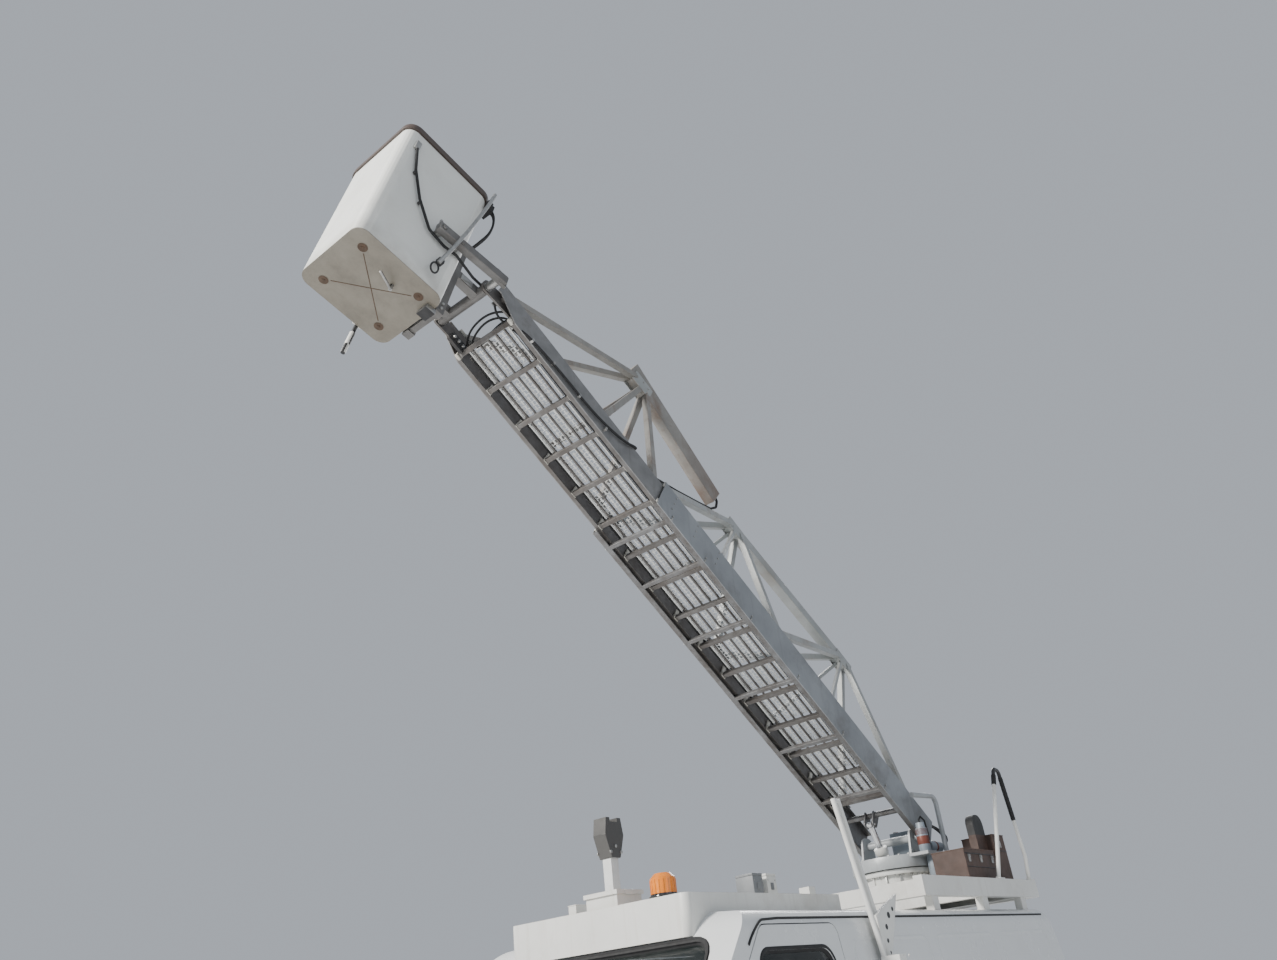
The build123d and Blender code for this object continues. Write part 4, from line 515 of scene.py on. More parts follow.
for s, c, n in ((5040, 186, 66), (5000, -204, 60), (5030, 204, 92), (5060, 208, 120), (5040, 200, 150),
                (5215, 200, 60)):
    drum(hoses, on_boom(s, c, n), along, 13, 34, 6, 1)
piece("fly_rigging", hoses, "fly_section", [black_rubber, zinc], smooth=50)
wear_node("fly_hose", black_rubber)
wear_node("bucket_hose", black_rubber)
tip_parts = bmesh.new()
block(tip_parts, on_boom(5150, -206, 40), boom_axes, (130, 26, 80), 0)
block(tip_parts, on_boom(5130, 206, 130), boom_axes, (90, 24, 60), 0)
for s in (5110, 5150, 5190):
    drum(tip_parts, on_boom(s, -186, 40), left, 12, 18, 6, 1)
for side in (1, -1):
    drum(tip_parts, on_boom(5320, side * 236, 70), left, 30, 6, 24, 1)
    for s, n in ((5120, 84), (5120, 120), (5200, 110)):
        drum(tip_parts, on_boom(s, side * 235, n), left, 9, 8, 6, 1)
piece("tip_parts", tip_parts, "fly_section", [dark_steel, zinc], edge=0.0015)

# Bodywork: pressed and spot-welded steel in white enamel, clean on top, dusty along the
# sills, with black rubber seals round the glass and drip rails over the doors.
body_paint = finish("body_paint", (0.71, 0.725, 0.725), 0.24, vary=0.02, grain=1.2, soil=0.10,
                    soil_color=(0.40, 0.37, 0.32), streak=0.06, low_soil=0.55, coat=0.5)
plain_axes = (Vector((1, 0, 0)), Vector((0, 1, 0)), Vector((0, 0, 1)))
front_axle_x = 1930
rear_axle_x = -1500
hub_height = 387
undercoat = finish("undercoat", (0.34, 0.34, 0.33), 0.7, vary=0.15, grain=3, soil=0.6, bump=0.2)
black_plastic = finish("black_plastic", (0.035, 0.035, 0.037), 0.5, vary=0.15, grain=15, soil=0.3,
                       soil_color=(0.16, 0.15, 0.13), bump=0.15)
for node in ("body_shell", "front_clip", "hood", "front_left_door", "front_right_door", "side_front_door",
             "side_rear_door", "rear_left_door", "rear_right_door"):
    wear_node(node, body_paint)
wear_node("floor_pan", undercoat)


def surface(*nodes):
    """A tree of the faces of some CAD nodes, for finding points on them."""
    corners, faces = [], []
    for node in nodes:
        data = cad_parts[node].data
        first = len(corners)
        corners += [v.co.copy() for v in data.vertices]
        faces += [[first + i for i in p.vertices] for p in data.polygons]
    return BVHTree.FromPolygons(corners, faces)


def outline(rows, step=55):
    """Points of a closed outline of rows of two coordinates and a corner radius, in millimetres."""
    points = []
    count = len(rows)
    for i in range(count):
        here = Vector(rows[i][:2])
        before = (Vector(rows[i - 1][:2]) - here).normalized()
        after = (Vector(rows[(i + 1) % count][:2]) - here).normalized()
        half = before.angle(after) / 2
        back = rows[i][2] / max(tan(half), 0.2)
        centre = here + (before + after).normalized() * (rows[i][2] / sin(half))
        for k in range(7):
            share = k / 6
            on_edge = here + before * back * (1 - share) ** 2 + after * back * share ** 2
            arm = on_edge - centre
            points.append(centre + arm.normalized() * rows[i][2] if rows[i][2] > 1 else here)
    full = []
    for first, second in zip(points, points[1:] + points[:1]):
        parts = max(1, int((second - first).length / step))
        full += [first.lerp(second, k / parts) for k in range(parts)]
    return full


def drape(tree, flat, view):
    """Points and normals where an outline, looked at along an axis, falls on a surface."""
    points, normals = [], []
    for a, b in flat:
        start, way = {
            "left": (at(a, 1600, b), Vector((0, -1, 0))),
            "right": (at(a, -1600, b), Vector((0, 1, 0))),
            "front": (at(3200, a, b), Vector((-1, 0, 0))),
            "rear": (at(-3300, a, b), Vector((1, 0, 0))),
            "top": (at(a, b, 3200), Vector((0, 0, -1))),
        }[view]
        spot, normal = tree.ray_cast(start, way, 2.6)[:2]
        if spot is not None:
            points.append(spot)
            normals.append(normal if normal.dot(way) < 0 else -normal)
    return points, normals


def seal(form, tree, rows, view, width, height, closed=True):
    """Adds a strip that lies on a surface along an outline."""
    flat = outline(rows) if closed else rows
    points, normals = drape(tree, flat, view)
    if len(points) > 3:
        tube(form, points, width, height, normals, 6, closed and len(points) == len(flat))


def bridge(form, tree, rows, view, inward, height):
    """Adds a strip that spans the step from a skin's edge down to the pane inside it."""
    outer = outline(rows)
    centre = sum(outer, Vector((0, 0))) / len(outer)
    wide = max(abs(p.x - centre.x) for p in outer)
    tall = max(abs(p.y - centre.y) for p in outer)
    share = Vector((1 - inward / wide, 1 - inward / tall))
    inner = [centre + Vector(((p.x - centre.x) * share.x, (p.y - centre.y) * share.y)) for p in outer]
    edge_points, edge_normals = drape(tree, outer, view)
    pane_points = drape(tree, inner, view)[0]
    if len(edge_points) != len(pane_points):
        return
    middle = [(a + b) / 2 for a, b in zip(edge_points, pane_points)]
    width = max((a - b).length for a, b in zip(edge_points, pane_points)) * 1000 + 4
    tilted = []
    for i, (a, b) in enumerate(zip(edge_points, pane_points)):
        run = middle[(i + 1) % len(middle)] - middle[i - 1]
        upward = (b - a).cross(run).normalized()
        tilted.append(upward if upward.dot(edge_normals[i]) > 0 else -upward)
    tube(form, middle, min(width, 48), height, tilted, 6, True)


def mirrored(rows):
    """The rows of a symmetric outline from those of its left half."""
    return rows + [(-a, b, r) for a, b, r in reversed(rows)]


window_rows = [(522, 1282, 74), (1416, 1282, 50), (1180, 1856, 90), (522, 1856, 92)]
screen_rows = mirrored([(818, 1328, 92), (748, 1932, 112)])
rear_window_rows = [(112, 1302, 74), (698, 1302, 74), (678, 1840, 84), (112, 1840, 84)]
shell_skin = surface("body_shell", "front_clip", "windshield")
door_skins = {}
for body, node, view in (("front_left_entry", "front_left_door", "left"),
                         ("front_right_entry", "front_right_door", "right")):
    door_skins[body] = surface(node, node.replace("door", "glass"))
    rubber = bmesh.new()
    seal(rubber, door_skins[body], window_rows, view, 18, 7)
    bridge(rubber, door_skins[body], window_rows, view, 20, 7)
    piece(body + "_window_seal", rubber, body, [black_rubber])
for body, node, side in (("rear_left_entry", "rear_left_door", 1),
                         ("rear_right_entry", "rear_right_door", -1)):
    door_skins[body] = surface(node)
    rubber = bmesh.new()
    seal(rubber, door_skins[body], [(side * a, b, r) for a, b, r in rear_window_rows], "rear", 16, 7)
    piece(body + "_window_seal", rubber, body, [black_rubber])
rubber = bmesh.new()
seal(rubber, shell_skin, screen_rows, "front", 26, 8)
bridge(rubber, shell_skin, screen_rows, "front", 20, 8)
piece("windshield_seal", rubber, "van", [black_rubber])
gutter_z = 1992
gutter = bmesh.new()
for view in ("left", "right"):
    rail = [Vector((-2640 + 120 * i, gutter_z)) for i in range(31)]
    rail += [Vector((1080 + 24 * i, gutter_z - 5 * i - i * i * 1.2)) for i in range(1, 9)]
    points, normals = drape(shell_skin, rail, view)
    tube(gutter, points, 13, 17, normals, 6)
piece("drip_rails", gutter, "van", [black_rubber])
creases = bmesh.new()
lip_radius = 457
left_panels = ((-2560, -1700), (-1580, -720), (-600, 300))
right_panels = ((-2560, -1700), (-1580, -760))
for view, panels in (("left", left_panels), ("right", right_panels)):
    for rear_x, front_x in panels:
        rows = [(rear_x, 1300, 60), (front_x, 1300, 60), (front_x, 1880, 60), (rear_x, 1880, 60)]
        seal(creases, shell_skin, rows, view, 20, 5)
    low = [Vector((-2700 + 110 * i, 1130)) for i in range(28)]
    points, normals = drape(shell_skin, low, view)
    tube(creases, points, 16, 5, normals, 6)
    for wheel_x in (front_axle_x, rear_axle_x):
        turns = [radians(a) for a in range(14, 168, 7)]
        lip = [Vector((wheel_x + lip_radius * cos(turn), hub_height + lip_radius * sin(turn)))
               for turn in turns]
        points, normals = drape(shell_skin, lip, view)
        tube(creases, points, 22, 14, normals, 6)
piece("side_creases", creases, "van", [body_paint])

# Fender corner and pillar feet: pressed steel in the body's enamel, welded in. A panel just
# proud of the skin closes the right fender's corner, and a small filler stands at each
# front pillar's foot behind the hood.
corner_line = ((2320, 987), (2600, 929), (2620, 922), (2640, 911))
corner_middle_x = 2504
corner_middle_z = 782
corner = bmesh.new()
bmesh.ops.create_grid(corner, x_segments=12, y_segments=8, size=1)
for v in corner.verts:
    x = corner_middle_x + 119 * v.co.x
    for (x0, y0), (x1, y1) in zip(corner_line, corner_line[1:]):
        if x0 <= x <= x1:
            y = y0 + (y1 - y0) * (x - x0) / (x1 - x0)
    v.co = at(x, -y - 1.2, corner_middle_z + 222 * v.co.y)
bmesh.ops.recalc_face_normals(corner, faces=corner.faces[:])
bmesh.ops.solidify(corner, geom=corner.faces[:], thickness=0.02)
piece("right_fender_corner", corner, "van", [body_paint])
cowl_fillers = bmesh.new()
for side in (1, -1):
    block(cowl_fillers, at(1971, side * 926, 1165), plain_axes, (26, 76, 150))
piece("cowl_fillers", cowl_fillers, "van", [body_paint], edge=0.002)

# Door furniture: black paddle handles in moulded cups, steel hinge straps on the load
# doors and a chromed lock face below each handle, all screwed through the skins.
chrome = finish("chrome_plate", (0.75, 0.75, 0.76), 0.12, 1.0, vary=0.05, grain=40, soil=0.15)


def skin_y(z):
    """How far out the side's skin stands at a height."""
    rows = ((220, 985), (900, 1005), (1260, 975), (2030, 890))
    for (z0, y0), (z1, y1) in zip(rows, rows[1:]):
        if z <= z1:
            return y0 + (y1 - y0) * (z - z0) / (z1 - z0)
    return rows[-1][1]


for body, x, side in (("front_left_entry", 530, 1), ("front_right_entry", 530, -1),
                      ("side_front_entry", -150, -1)):
    handle = bmesh.new()
    y = skin_y(1160)
    block(handle, at(x, side * (y + 3), 1160), plain_axes, (150, 8, 56), 0)
    block(handle, at(x + 6, side * (y + 13), 1164), plain_axes, (112, 12, 24), 0)
    drum(handle, at(x - 44, side * (y + 9), 1128), left, 11, 6, 16, 1)
    piece(body + "_handle", handle, body, [black_plastic, chrome], edge=0.003)
for body, x in (("side_front_entry", 300), ("side_rear_entry", -566)):
    strap = bmesh.new()
    for z in (860, 1240):
        y = -skin_y(z)
        block(strap, at(x, y - 3, z), plain_axes, (120, 8, 44))
        for step in (-40, -12, 16):
            drum(strap, at(x + step, y - 8, z), left, 8, 5, 6)
    piece(body + "_hinges", strap, body, [body_paint], edge=0.002)
for body, side in (("rear_left_entry", 1), ("rear_right_entry", -1)):
    strap = bmesh.new()
    for z in (820, 1200, 1880):
        spot, normal = drape(door_skins[body], [Vector((side * 725, z))], "rear")
        if spot:
            block(strap, spot[0] + normal[0] * 0.003, plain_axes, (8, 110, 44))
            drum(strap, spot[0] + normal[0] * 0.008 + Vector((0, 0.03, 0)), plain_axes[0], 8, 5, 6)
            drum(strap, spot[0] + normal[0] * 0.008 - Vector((0, 0.03, 0)), plain_axes[0], 8, 5, 6)
    piece(body + "_hinges", strap, body, [body_paint], edge=0.002)
rear_furniture = bmesh.new()
spot, normal = drape(door_skins["rear_right_entry"], [Vector((-90, 1120))], "rear")
block(rear_furniture, spot[0] + normal[0] * 0.004, plain_axes, (10, 90, 150), 0)
block(rear_furniture, spot[0] + normal[0] * 0.014, plain_axes, (14, 46, 100), 0)
spot, normal = drape(door_skins["rear_right_entry"], [Vector((-400, 900))], "rear")
block(rear_furniture, spot[0] + normal[0] * 0.004, plain_axes, (5, 310, 160), 1)
piece("rear_furniture", rear_furniture, "rear_right_entry", [black_plastic, zinc], edge=0.002)

# Bumpers and rear ladder: a black moulded bumper in front, a folded steel one behind with
# its hitch, and a black tube ladder that is bolted to the left rear door.
wear_node("front_bumper", black_plastic, 0.006)
wear_node("rear_bumper", dark_steel, 0.003)
wear_node("rear_ladder", dark_steel)

# Glass: toughened panes with a faint green tint, set in rubber; wipers of black
# painted steel lie along the windshield's lower edge.
def glass_material(name, tint, rough, clear, cover=1.0):
    """Clear or tinted glass with a little dust."""
    made, tree, shader, place = node_tree(name)
    shader.inputs["Transmission Weight"].default_value = clear
    shader.inputs["IOR"].default_value = 1.45
    shader.inputs["Roughness"].default_value = rough
    shader.inputs["Alpha"].default_value = cover
    dust = span(tree, cloud(tree, place, 5, 8, 0.7), 0.42, 0.8, 0.0, 0.12)
    tree.links.new(layer(tree, tint, (0.42, 0.42, 0.40), dust), shader.inputs["Base Color"])
    return made


pane_glass = glass_material("pane_glass", (0.018, 0.024, 0.024), 0.02, 0.0, 0.42)
for node in ("windshield", "front_left_glass", "front_right_glass", "rear_left_glass", "rear_right_glass"):
    wear_node(node, pane_glass)
screen_skin = surface("windshield")
wipers = bmesh.new()
for foot_y, tip_y in ((620, 60), (-40, -600)):
    reach = [Vector((foot_y + (tip_y - foot_y) * k / 10, 1362 + 26 * sin(pi * k / 10))) for k in range(11)]
    points, normals = drape(screen_skin, reach, "front")
    lifted = [p + n * 0.02 for p, n in zip(points, normals)]
    tube(wipers, lifted, 9, 9, normals, 6)
    if points:
        tube(wipers, [p + n * 0.008 for p, n in zip(points[3:], normals[3:])], 7, 14, normals[3:], 6)
        drum(wipers, points[0] + normals[0] * 0.012, normals[0], 17, 26, 16)
piece("wipers", wipers, "van", [black_plastic])

# Lamps and grille: moulded black grille, clear head lamps with fluted lenses, red tail
# lamps with an amber and a clear band, each screwed in from behind.
lens_clear = glass_material("lens_clear", (0.44, 0.47, 0.49), 0.10, 0.35)
lens_red = finish("lens_red", (0.42, 0.015, 0.012), 0.16, vary=0.1, grain=8, soil=0.15, coat=0.6)
lens_amber = finish("lens_amber", (0.75, 0.24, 0.02), 0.18, vary=0.1, grain=8, soil=0.2, coat=0.6)
wear_node("head_lamps", lens_clear)
wear_node("tail_lamps", lens_red)
wear_node("grille", black_plastic, 0.002)
overlay(lens_red, (0.70, 0.20, 0.02), at(0, 0, 1262), Vector((0, 0, 1)), -0.001, 0.001)
overlay(lens_red, (0.75, 0.76, 0.78), at(0, 0, 1098), Vector((0, 0, -1)), -0.001, 0.001)
bezels = bmesh.new()
for side in (1, -1):
    rows = [(side * 577, 752, 34), (side * 868, 752, 34), (side * 868, 973, 34), (side * 577, 973, 34)]
    seal(bezels, surface("front_clip", "head_lamps", "grille"), rows, "front", 14, 12)
    rows = [(side * 846, 1014, 20), (side * 964, 1014, 20), (side * 964, 1356, 20), (side * 846, 1356, 20)]
    points, normals = drape(surface("body_shell", "tail_lamps"), outline(rows), "rear")
    tube(bezels, points, 10, 12, normals, 6, True)
piece("lamp_bezels", bezels, "van", [black_plastic])
flutes = bmesh.new()
lamp_skin = surface("head_lamps")
for side in (1, -1):
    for y in range(604, 850, 24):
        points, normals = drape(lamp_skin, [Vector((side * y, z)) for z in (778, 835, 892, 948)], "front")
        if len(points) > 1:
            tube(flutes, points, 7, 5, normals, 6)
piece("lamp_flutes", flutes, "van", [lens_clear], smooth=60)
markers = bmesh.new()
for side in (1, -1):
    points, normals = drape(surface("front_clip"), [Vector((2560, 860))], "left" if side > 0 else "right")
    if points:
        block(markers, points[0] + normals[0] * 0.003, plain_axes, (120, 12, 60))
piece("side_markers", markers, "van", [lens_amber], edge=0.003)

# Tyres: radial van tyres with four grooves round the tread and cut shoulders, on
# painted steel wheels held by eight nuts, dusty at the sidewalls.
tyre_rubber = finish("tyre_rubber", (0.028, 0.028, 0.028), 0.78, vary=0.2, grain=14, soil=0.5,
                     soil_color=(0.17, 0.15, 0.12), bump=0.25, bump_grain=300)
rim_paint = finish("rim_paint", (0.55, 0.56, 0.56), 0.4, 0.3, vary=0.08, grain=8, soil=0.5,
                   soil_color=(0.20, 0.15, 0.11), bump=0.08, wear=0.3)
half_track = 865
half_rows = [(90, 208), (108, 222), (119, 276), (119.5, 320), (113, 352), (101, 374)]
tread_rows = [(92, 382), (66, 385.5), (65, 377), (57, 377), (56, 386.5), (25, 386.5), (24, 377.5),
              (16, 377.5), (15, 386.5)]
tread_turns = 96
left_rows = half_rows + tread_rows
ring_rows = left_rows + [(-w, r) for w, r in reversed(left_rows)]
for node, body, x, side in (
    ("front_left_tyre", "front_left_wheel", front_axle_x, 1),
    ("front_right_tyre", "front_right_wheel", front_axle_x, -1),
    ("rear_left_tyre", "rear_left_wheel", rear_axle_x, 1),
    ("rear_right_tyre", "rear_right_wheel", rear_axle_x, -1),
):
    rubber = bmesh.new()
    ring = [rubber.verts.new(at(x, side * half_track + w, hub_height + r)) for w, r in ring_rows]
    ring += [rubber.edges.new(pair) for pair in zip(ring, ring[1:] + ring[:1])]
    hub = at(x, 0, hub_height)
    bmesh.ops.spin(rubber, geom=ring, cent=hub, axis=left, angle=2 * pi, steps=tread_turns, use_merge=True)
    for corner in rubber.verts:
        out = corner.co - at(x, side * half_track, hub_height)
        radius = hypot(out.x, out.z)
        turn = round(atan2(out.x, out.z) / (2 * pi) * tread_turns)
        if turn % 3 == 0 and radius > 0.381 and abs(out.y) > 0.06:
            corner.co -= Vector((out.x, 0, out.z)) * (0.006 / radius)
    tread = piece(node + "_tread", rubber, body, [tyre_rubber], smooth=50)
    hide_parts(node)
    nuts = bmesh.new()
    face_y = side * (half_track + 54)
    for k in range(8):
        spin = 2 * pi * k / 8
        nut_x = x + 62 * cos(spin)
        nut_z = hub_height + 62 * sin(spin)
        drum(nuts, at(nut_x, face_y + side * 10, nut_z), left, 11, 16, 6, 0)
    drum(nuts, at(x, face_y + side * 12, hub_height), left, 40, 18, 28, 1)
    piece(node.replace("tyre", "nuts"), nuts, body, [zinc, rim_paint], edge=0.0015)
    wear_node(node.replace("tyre", "rim"), rim_paint)

# Running gear: black painted frame, cast axle and steering parts, rusted exhaust and a
# black moulded tank, with clamps over the springs; all seen only from below.
frame_paint = finish("frame_paint", (0.035, 0.034, 0.033), 0.6, 0.2, vary=0.2, grain=6, soil=0.6,
                     soil_color=(0.18, 0.14, 0.10), bump=0.25)
cast_metal = finish("cast_metal", (0.12, 0.115, 0.11), 0.65, 0.4, vary=0.25, grain=8, soil=0.6,
                    soil_color=(0.20, 0.13, 0.08), bump=0.4, bump_grain=90)
exhaust_metal = finish("exhaust_metal", (0.26, 0.20, 0.16), 0.6, 0.6, vary=0.25, grain=6, soil=0.8,
                       soil_color=(0.20, 0.10, 0.05), bump=0.25)
for node, material in (
    ("chassis_frame", frame_paint),
    ("front_suspension", frame_paint),
    ("engine", cast_metal),
    ("left_knuckle", cast_metal),
    ("right_knuckle", cast_metal),
    ("rear_axle", cast_metal),
    ("drive_line", exhaust_metal),
    ("fuel_tank", black_plastic),
):
    wear_node(node, material)
clamps = bmesh.new()
for side in (1, -1):
    block(clamps, at(rear_axle_x, side * 525, 470), plain_axes, (130, 76, 14))
    for step in (-48, 48):
        for edge_y in (-34, 34):
            drum(clamps, at(rear_axle_x + step, side * 525 + edge_y, 420), plain_axes[2], 7, 110, 8)
piece("spring_clamps", clamps, "van", [frame_paint])

# Door mirrors: moulded black housings on arms screwed to the doors, each with a tall
# mirror above a low wide-angle one, both clipped in from the front.
mirror_face = glass_material("mirror_face", (0.75, 0.78, 0.80), 0.03, 0.0)
mirror_face.node_tree.nodes["Principled BSDF"].inputs["Metallic"].default_value = 1.0
for node, body, side in (("left_mirror", "front_left_entry", 1), ("right_mirror", "front_right_entry", -1)):
    wear_node(node, black_plastic, 0.002)
    faces = bmesh.new()
    block(faces, at(1304, side * 1150, 1440), plain_axes, (4, 150, 170), 0)
    block(faces, at(1304, side * 1150, 1306), plain_axes, (4, 150, 74), 0)
    piece(node + "_faces", faces, body, [mirror_face], edge=0.001)

# Cab: moulded dashboard with a dial hood, vents and a glove box lid, and door linings
# with arm rests, all in dark grey grained plastic.
dash_plastic = finish("dash_plastic", (0.10, 0.10, 0.105), 0.6, vary=0.12, grain=12, soil=0.2, bump=0.3,
                      bump_grain=400)
wear_node("dashboard", dash_plastic, 0.004)
dash_skin = surface("dashboard")
fittings = bmesh.new()
for y, z, wide, high, which in ((430, 1115, 330, 90, 1), (0, 1085, 220, 130, 1), (-430, 1060, 420, 130, 0),
                                (700, 1120, 110, 60, 1), (190, 1130, 90, 50, 1), (-190, 1130, 90, 50, 1),
                                (-760, 1120, 110, 60, 1)):
    spot = dash_skin.ray_cast(at(900, y, z), Vector((1, 0, 0)), 1.2)[0]
    if spot is not None:
        block(fittings, spot - Vector((0.004, 0, 0)), plain_axes, (12, wide, high), which)
for side, body in ((1, "front_left_entry"), (-1, "front_right_entry")):
    lining = bmesh.new()
    block(lining, at(930, side * 925, 900), plain_axes, (820, 8, 560), 0)
    block(lining, at(880, side * 905, 1010), plain_axes, (420, 46, 60), 0)
    piece(body + "_lining", lining, body, [dash_plastic], edge=0.004)
piece("dash_fittings", fittings, "van", [dash_plastic, black_plastic], edge=0.003)

# Seats: foam cushions under dark grey woven covers with piped seams and two sewn
# channels, on black steel boxes; each has a cushion, a back and a head rest.
seat_cloth = finish("seat_cloth", (0.10, 0.105, 0.115), 0.9, vary=0.18, grain=60, soil=0.25, bump=0.5,
                    bump_grain=900)
seat_frames = bmesh.new()


def cushion(name, centre, axes, size, crown, channels):
    """A padded block with crowned faces, sides that pull in, sewn channels and piped seams."""
    form = bmesh.new()
    bmesh.ops.create_cube(form, size=2)
    bmesh.ops.subdivide_edges(form, edges=form.edges[:], cuts=17, use_grid_fill=True)
    half = [s / 2000 for s in size]
    for corner in form.verts:
        u, v, w = corner.co
        pull = 1 - 0.05 * (1 - u * u) * (1 - v * v) - 0.06 * w ** 4
        rise = (w * half[2] + crown / 1000 * w * (1 - u * u) * (1 - v * v)) * (1 - 0.10 * (u ** 8 + v ** 8))
        for line in channels:
            rise -= 0.010 * max(w, 0) ** 3 * exp(-((v - line) / 0.07) ** 2) * (1 - u ** 8)
        forth = u * half[0] * (1 - 0.03 * (1 - v * v)) * pull
        aside = v * half[1] * pull
        corner.co = centre + axes[0] * forth + axes[1] * aside + axes[2] * rise
    bmesh.ops.smooth_vert(form, verts=form.verts[:], factor=0.5, use_axis_x=True, use_axis_y=True,
                          use_axis_z=True)
    seam = []
    for k in range(48):
        turn = 2 * pi * k / 48
        swell = max(abs(cos(turn)), abs(sin(turn))) ** 0.94
        ahead = axes[0] * (cos(turn) / swell * half[0] * 0.93)
        across = axes[1] * (sin(turn) / swell * half[1] * 0.93)
        seam.append(centre + ahead + across + axes[2] * half[2] * 0.80)
    tube(form, seam, 8, 8, None, 6, True)
    made = piece(name, form, "van", [seat_cloth], smooth=50)


lean = radians(8)
back_axes = (Vector((-sin(lean), 0, cos(lean))), Vector((0, 1, 0)), Vector((cos(lean), 0, sin(lean))))
for side, name in ((1, "left"), (-1, "right")):
    y = side * 430
    cushion("seat_" + name + "_cushion", at(930, y, 992), plain_axes, (490, 490, 116), 14, (-0.5, 0.5))
    cushion("seat_" + name + "_back", at(706, y, 1290), back_axes, (520, 470, 92), 14, (-0.5, 0.5))
    cushion("seat_" + name + "_head_rest", at(655, y, 1640), back_axes, (120, 260, 72), 8, ())
    block(seat_frames, at(930, y, 812), plain_axes, (360, 360, 220))
    block(seat_frames, at(930, y, 930), plain_axes, (440, 440, 16))
    for step in (-60, 60):
        drum(seat_frames, at(678, y + step, 1570), back_axes[0], 6, 90, 10)
frames_made = piece("seat_frames", seat_frames, "van", [dark_steel], edge=0.004)
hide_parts("seats")

# Roof deck: a white painted steel tray with raised lips, a capped box at its front and
# two control boxes with lids and latches, grimy where water stands.
deck_paint = finish("deck_paint", (0.70, 0.70, 0.67), 0.45, vary=0.06, grain=3, soil=0.45,
                    soil_color=(0.33, 0.28, 0.22), streak=0.25, bump=0.12, wear=0.45,
                    wear_color=(0.30, 0.18, 0.11))
wear_node("roof_deck", deck_paint, 0.003)
wear_node("roof_frame", deck_paint, 0.004)
amber_lens = finish("amber_lens", (0.78, 0.22, 0.010), 0.15, vary=0.08, grain=30, soil=0.15, coat=0.7)
overlay(amber_lens, (0.03, 0.03, 0.03), at(0, 0, 2184), Vector((0, 0, -1)), -0.001, 0.001)
wear_node("beacon", amber_lens, 0.003)
beacon_x = 1130
beacon_y = 330
beacon_ribs = bmesh.new()
for k in range(18):
    spin = 2 * pi * k / 18
    radial = Vector((cos(spin), sin(spin), 0))
    round_about = Vector((-sin(spin), cos(spin), 0))
    centre = at(beacon_x + 68.5 * cos(spin), beacon_y + 68.5 * sin(spin), 2215)
    block(beacon_ribs, centre, (radial, round_about, plain_axes[2]), (3, 5, 74))
piece("beacon_ribs", beacon_ribs, "van", [amber_lens])
box_grey = finish("box_grey", (0.20, 0.21, 0.22), 0.5, vary=0.12, grain=12, soil=0.4, bump=0.2, wear=0.4)
boxes = bmesh.new()
for x in (60, -90):
    block(boxes, at(x, 150, 2322), plain_axes, (108, 128, 14), 1)
    block(boxes, at(x, 150, 2240), plain_axes, (106, 126, 148), 1)
    block(boxes, at(x, 214, 2255), plain_axes, (30, 8, 40), 1)
    for z in (2170, 2290):
        drum(boxes, at(x + 38, 212, z), left, 5, 6, 6, 2)
        drum(boxes, at(x - 38, 212, z), left, 5, 6, 6, 2)
block(boxes, at(1150, 121, 2225), plain_axes, (90, 4, 26), 1)
for x in (920, 670, 420, 170, -80):
    drum(boxes, at(x, -480, 2240), plain_axes[2], 9, 5, 6, 2)
block(boxes, at(420, -480, 2240), plain_axes, (1106, 66, 5), 0)
piece("deck_fittings", boxes, "van", [deck_paint, box_grey, zinc], edge=0.002)
leads = bmesh.new()
post_lead = ((1055, 60, 2150), (960, 70, 2140), (700, 100, 2138), (400, 120, 2138), (160, 146, 2138),
             (112, 150, 2146))
beacon_lead = ((1130, 248, 2140), (1000, 190, 2138), (700, 132, 2138), (400, 140, 2138), (180, 170, 2138),
               (114, 174, 2150))
rear_lead = ((-142, 150, 2160), (-175, 150, 2160), (-186, 170, 2156))
for rows, thick in ((post_lead, 14), (beacon_lead, 9), (rear_lead, 12)):
    tube(leads, [at(*row) for row in rows], thick, thick, None, 8)
piece("deck_leads", leads, "van", [black_rubber])

# Boom rest: a galvanised white post with a dark steel fork lined with rubber, where the
# stowed boom lies on the road.
rest_paint = finish("rest_paint", (0.66, 0.67, 0.66), 0.42, vary=0.08, grain=5, soil=0.4, streak=0.3,
                    bump=0.1, wear=0.5)
overlay(rest_paint, (0.07, 0.068, 0.065), at(0, 0, 2409), Vector((0, 0, 1)), -0.002, 0.002)
wear_node("boom_rest", rest_paint, 0.003)
rest_x = 1150
fork = bmesh.new()
for side in (1, -1):
    for step, z in ((-42, 2440), (42, 2440), (0, 2470)):
        drum(fork, at(rest_x + step, side * 47, z), left, 10, 6, 6)
piece("rest_bolts", fork, "van", [zinc], edge=0.001)

# Hand rails: bent white tube with black rubber grips where a hand goes, on small plates
# with two bolts each; the gusset of the twin tubes is drilled to save weight.
rail_paint = finish("rail_paint", (0.74, 0.74, 0.71), 0.35, vary=0.04, grain=6, soil=0.35, streak=0.2,
                    bump=0.06, wear=0.5, wear_color=(0.28, 0.20, 0.15))
overlay(rail_paint, (0.025, 0.025, 0.026), tuple(at(0, 0, 2960)), (0, 0, 1), -0.002, 0.002)
wear_node("hand_rails", rail_paint)
grips = bmesh.new()


def sleeve(form, first, last, low, high, radius):
    """Adds a grip round the part of a straight tube between two shares of its length."""
    start, end = at(*first), at(*last)
    run = end - start
    drum(form, start + run * (low + high) / 2, run, radius, run.length * 1000 * (high - low), 20)
    for k in range(9):
        drum(form, start + run * (low + (high - low) * (k + 0.5) / 9), run, radius + 1.5, 6, 20)


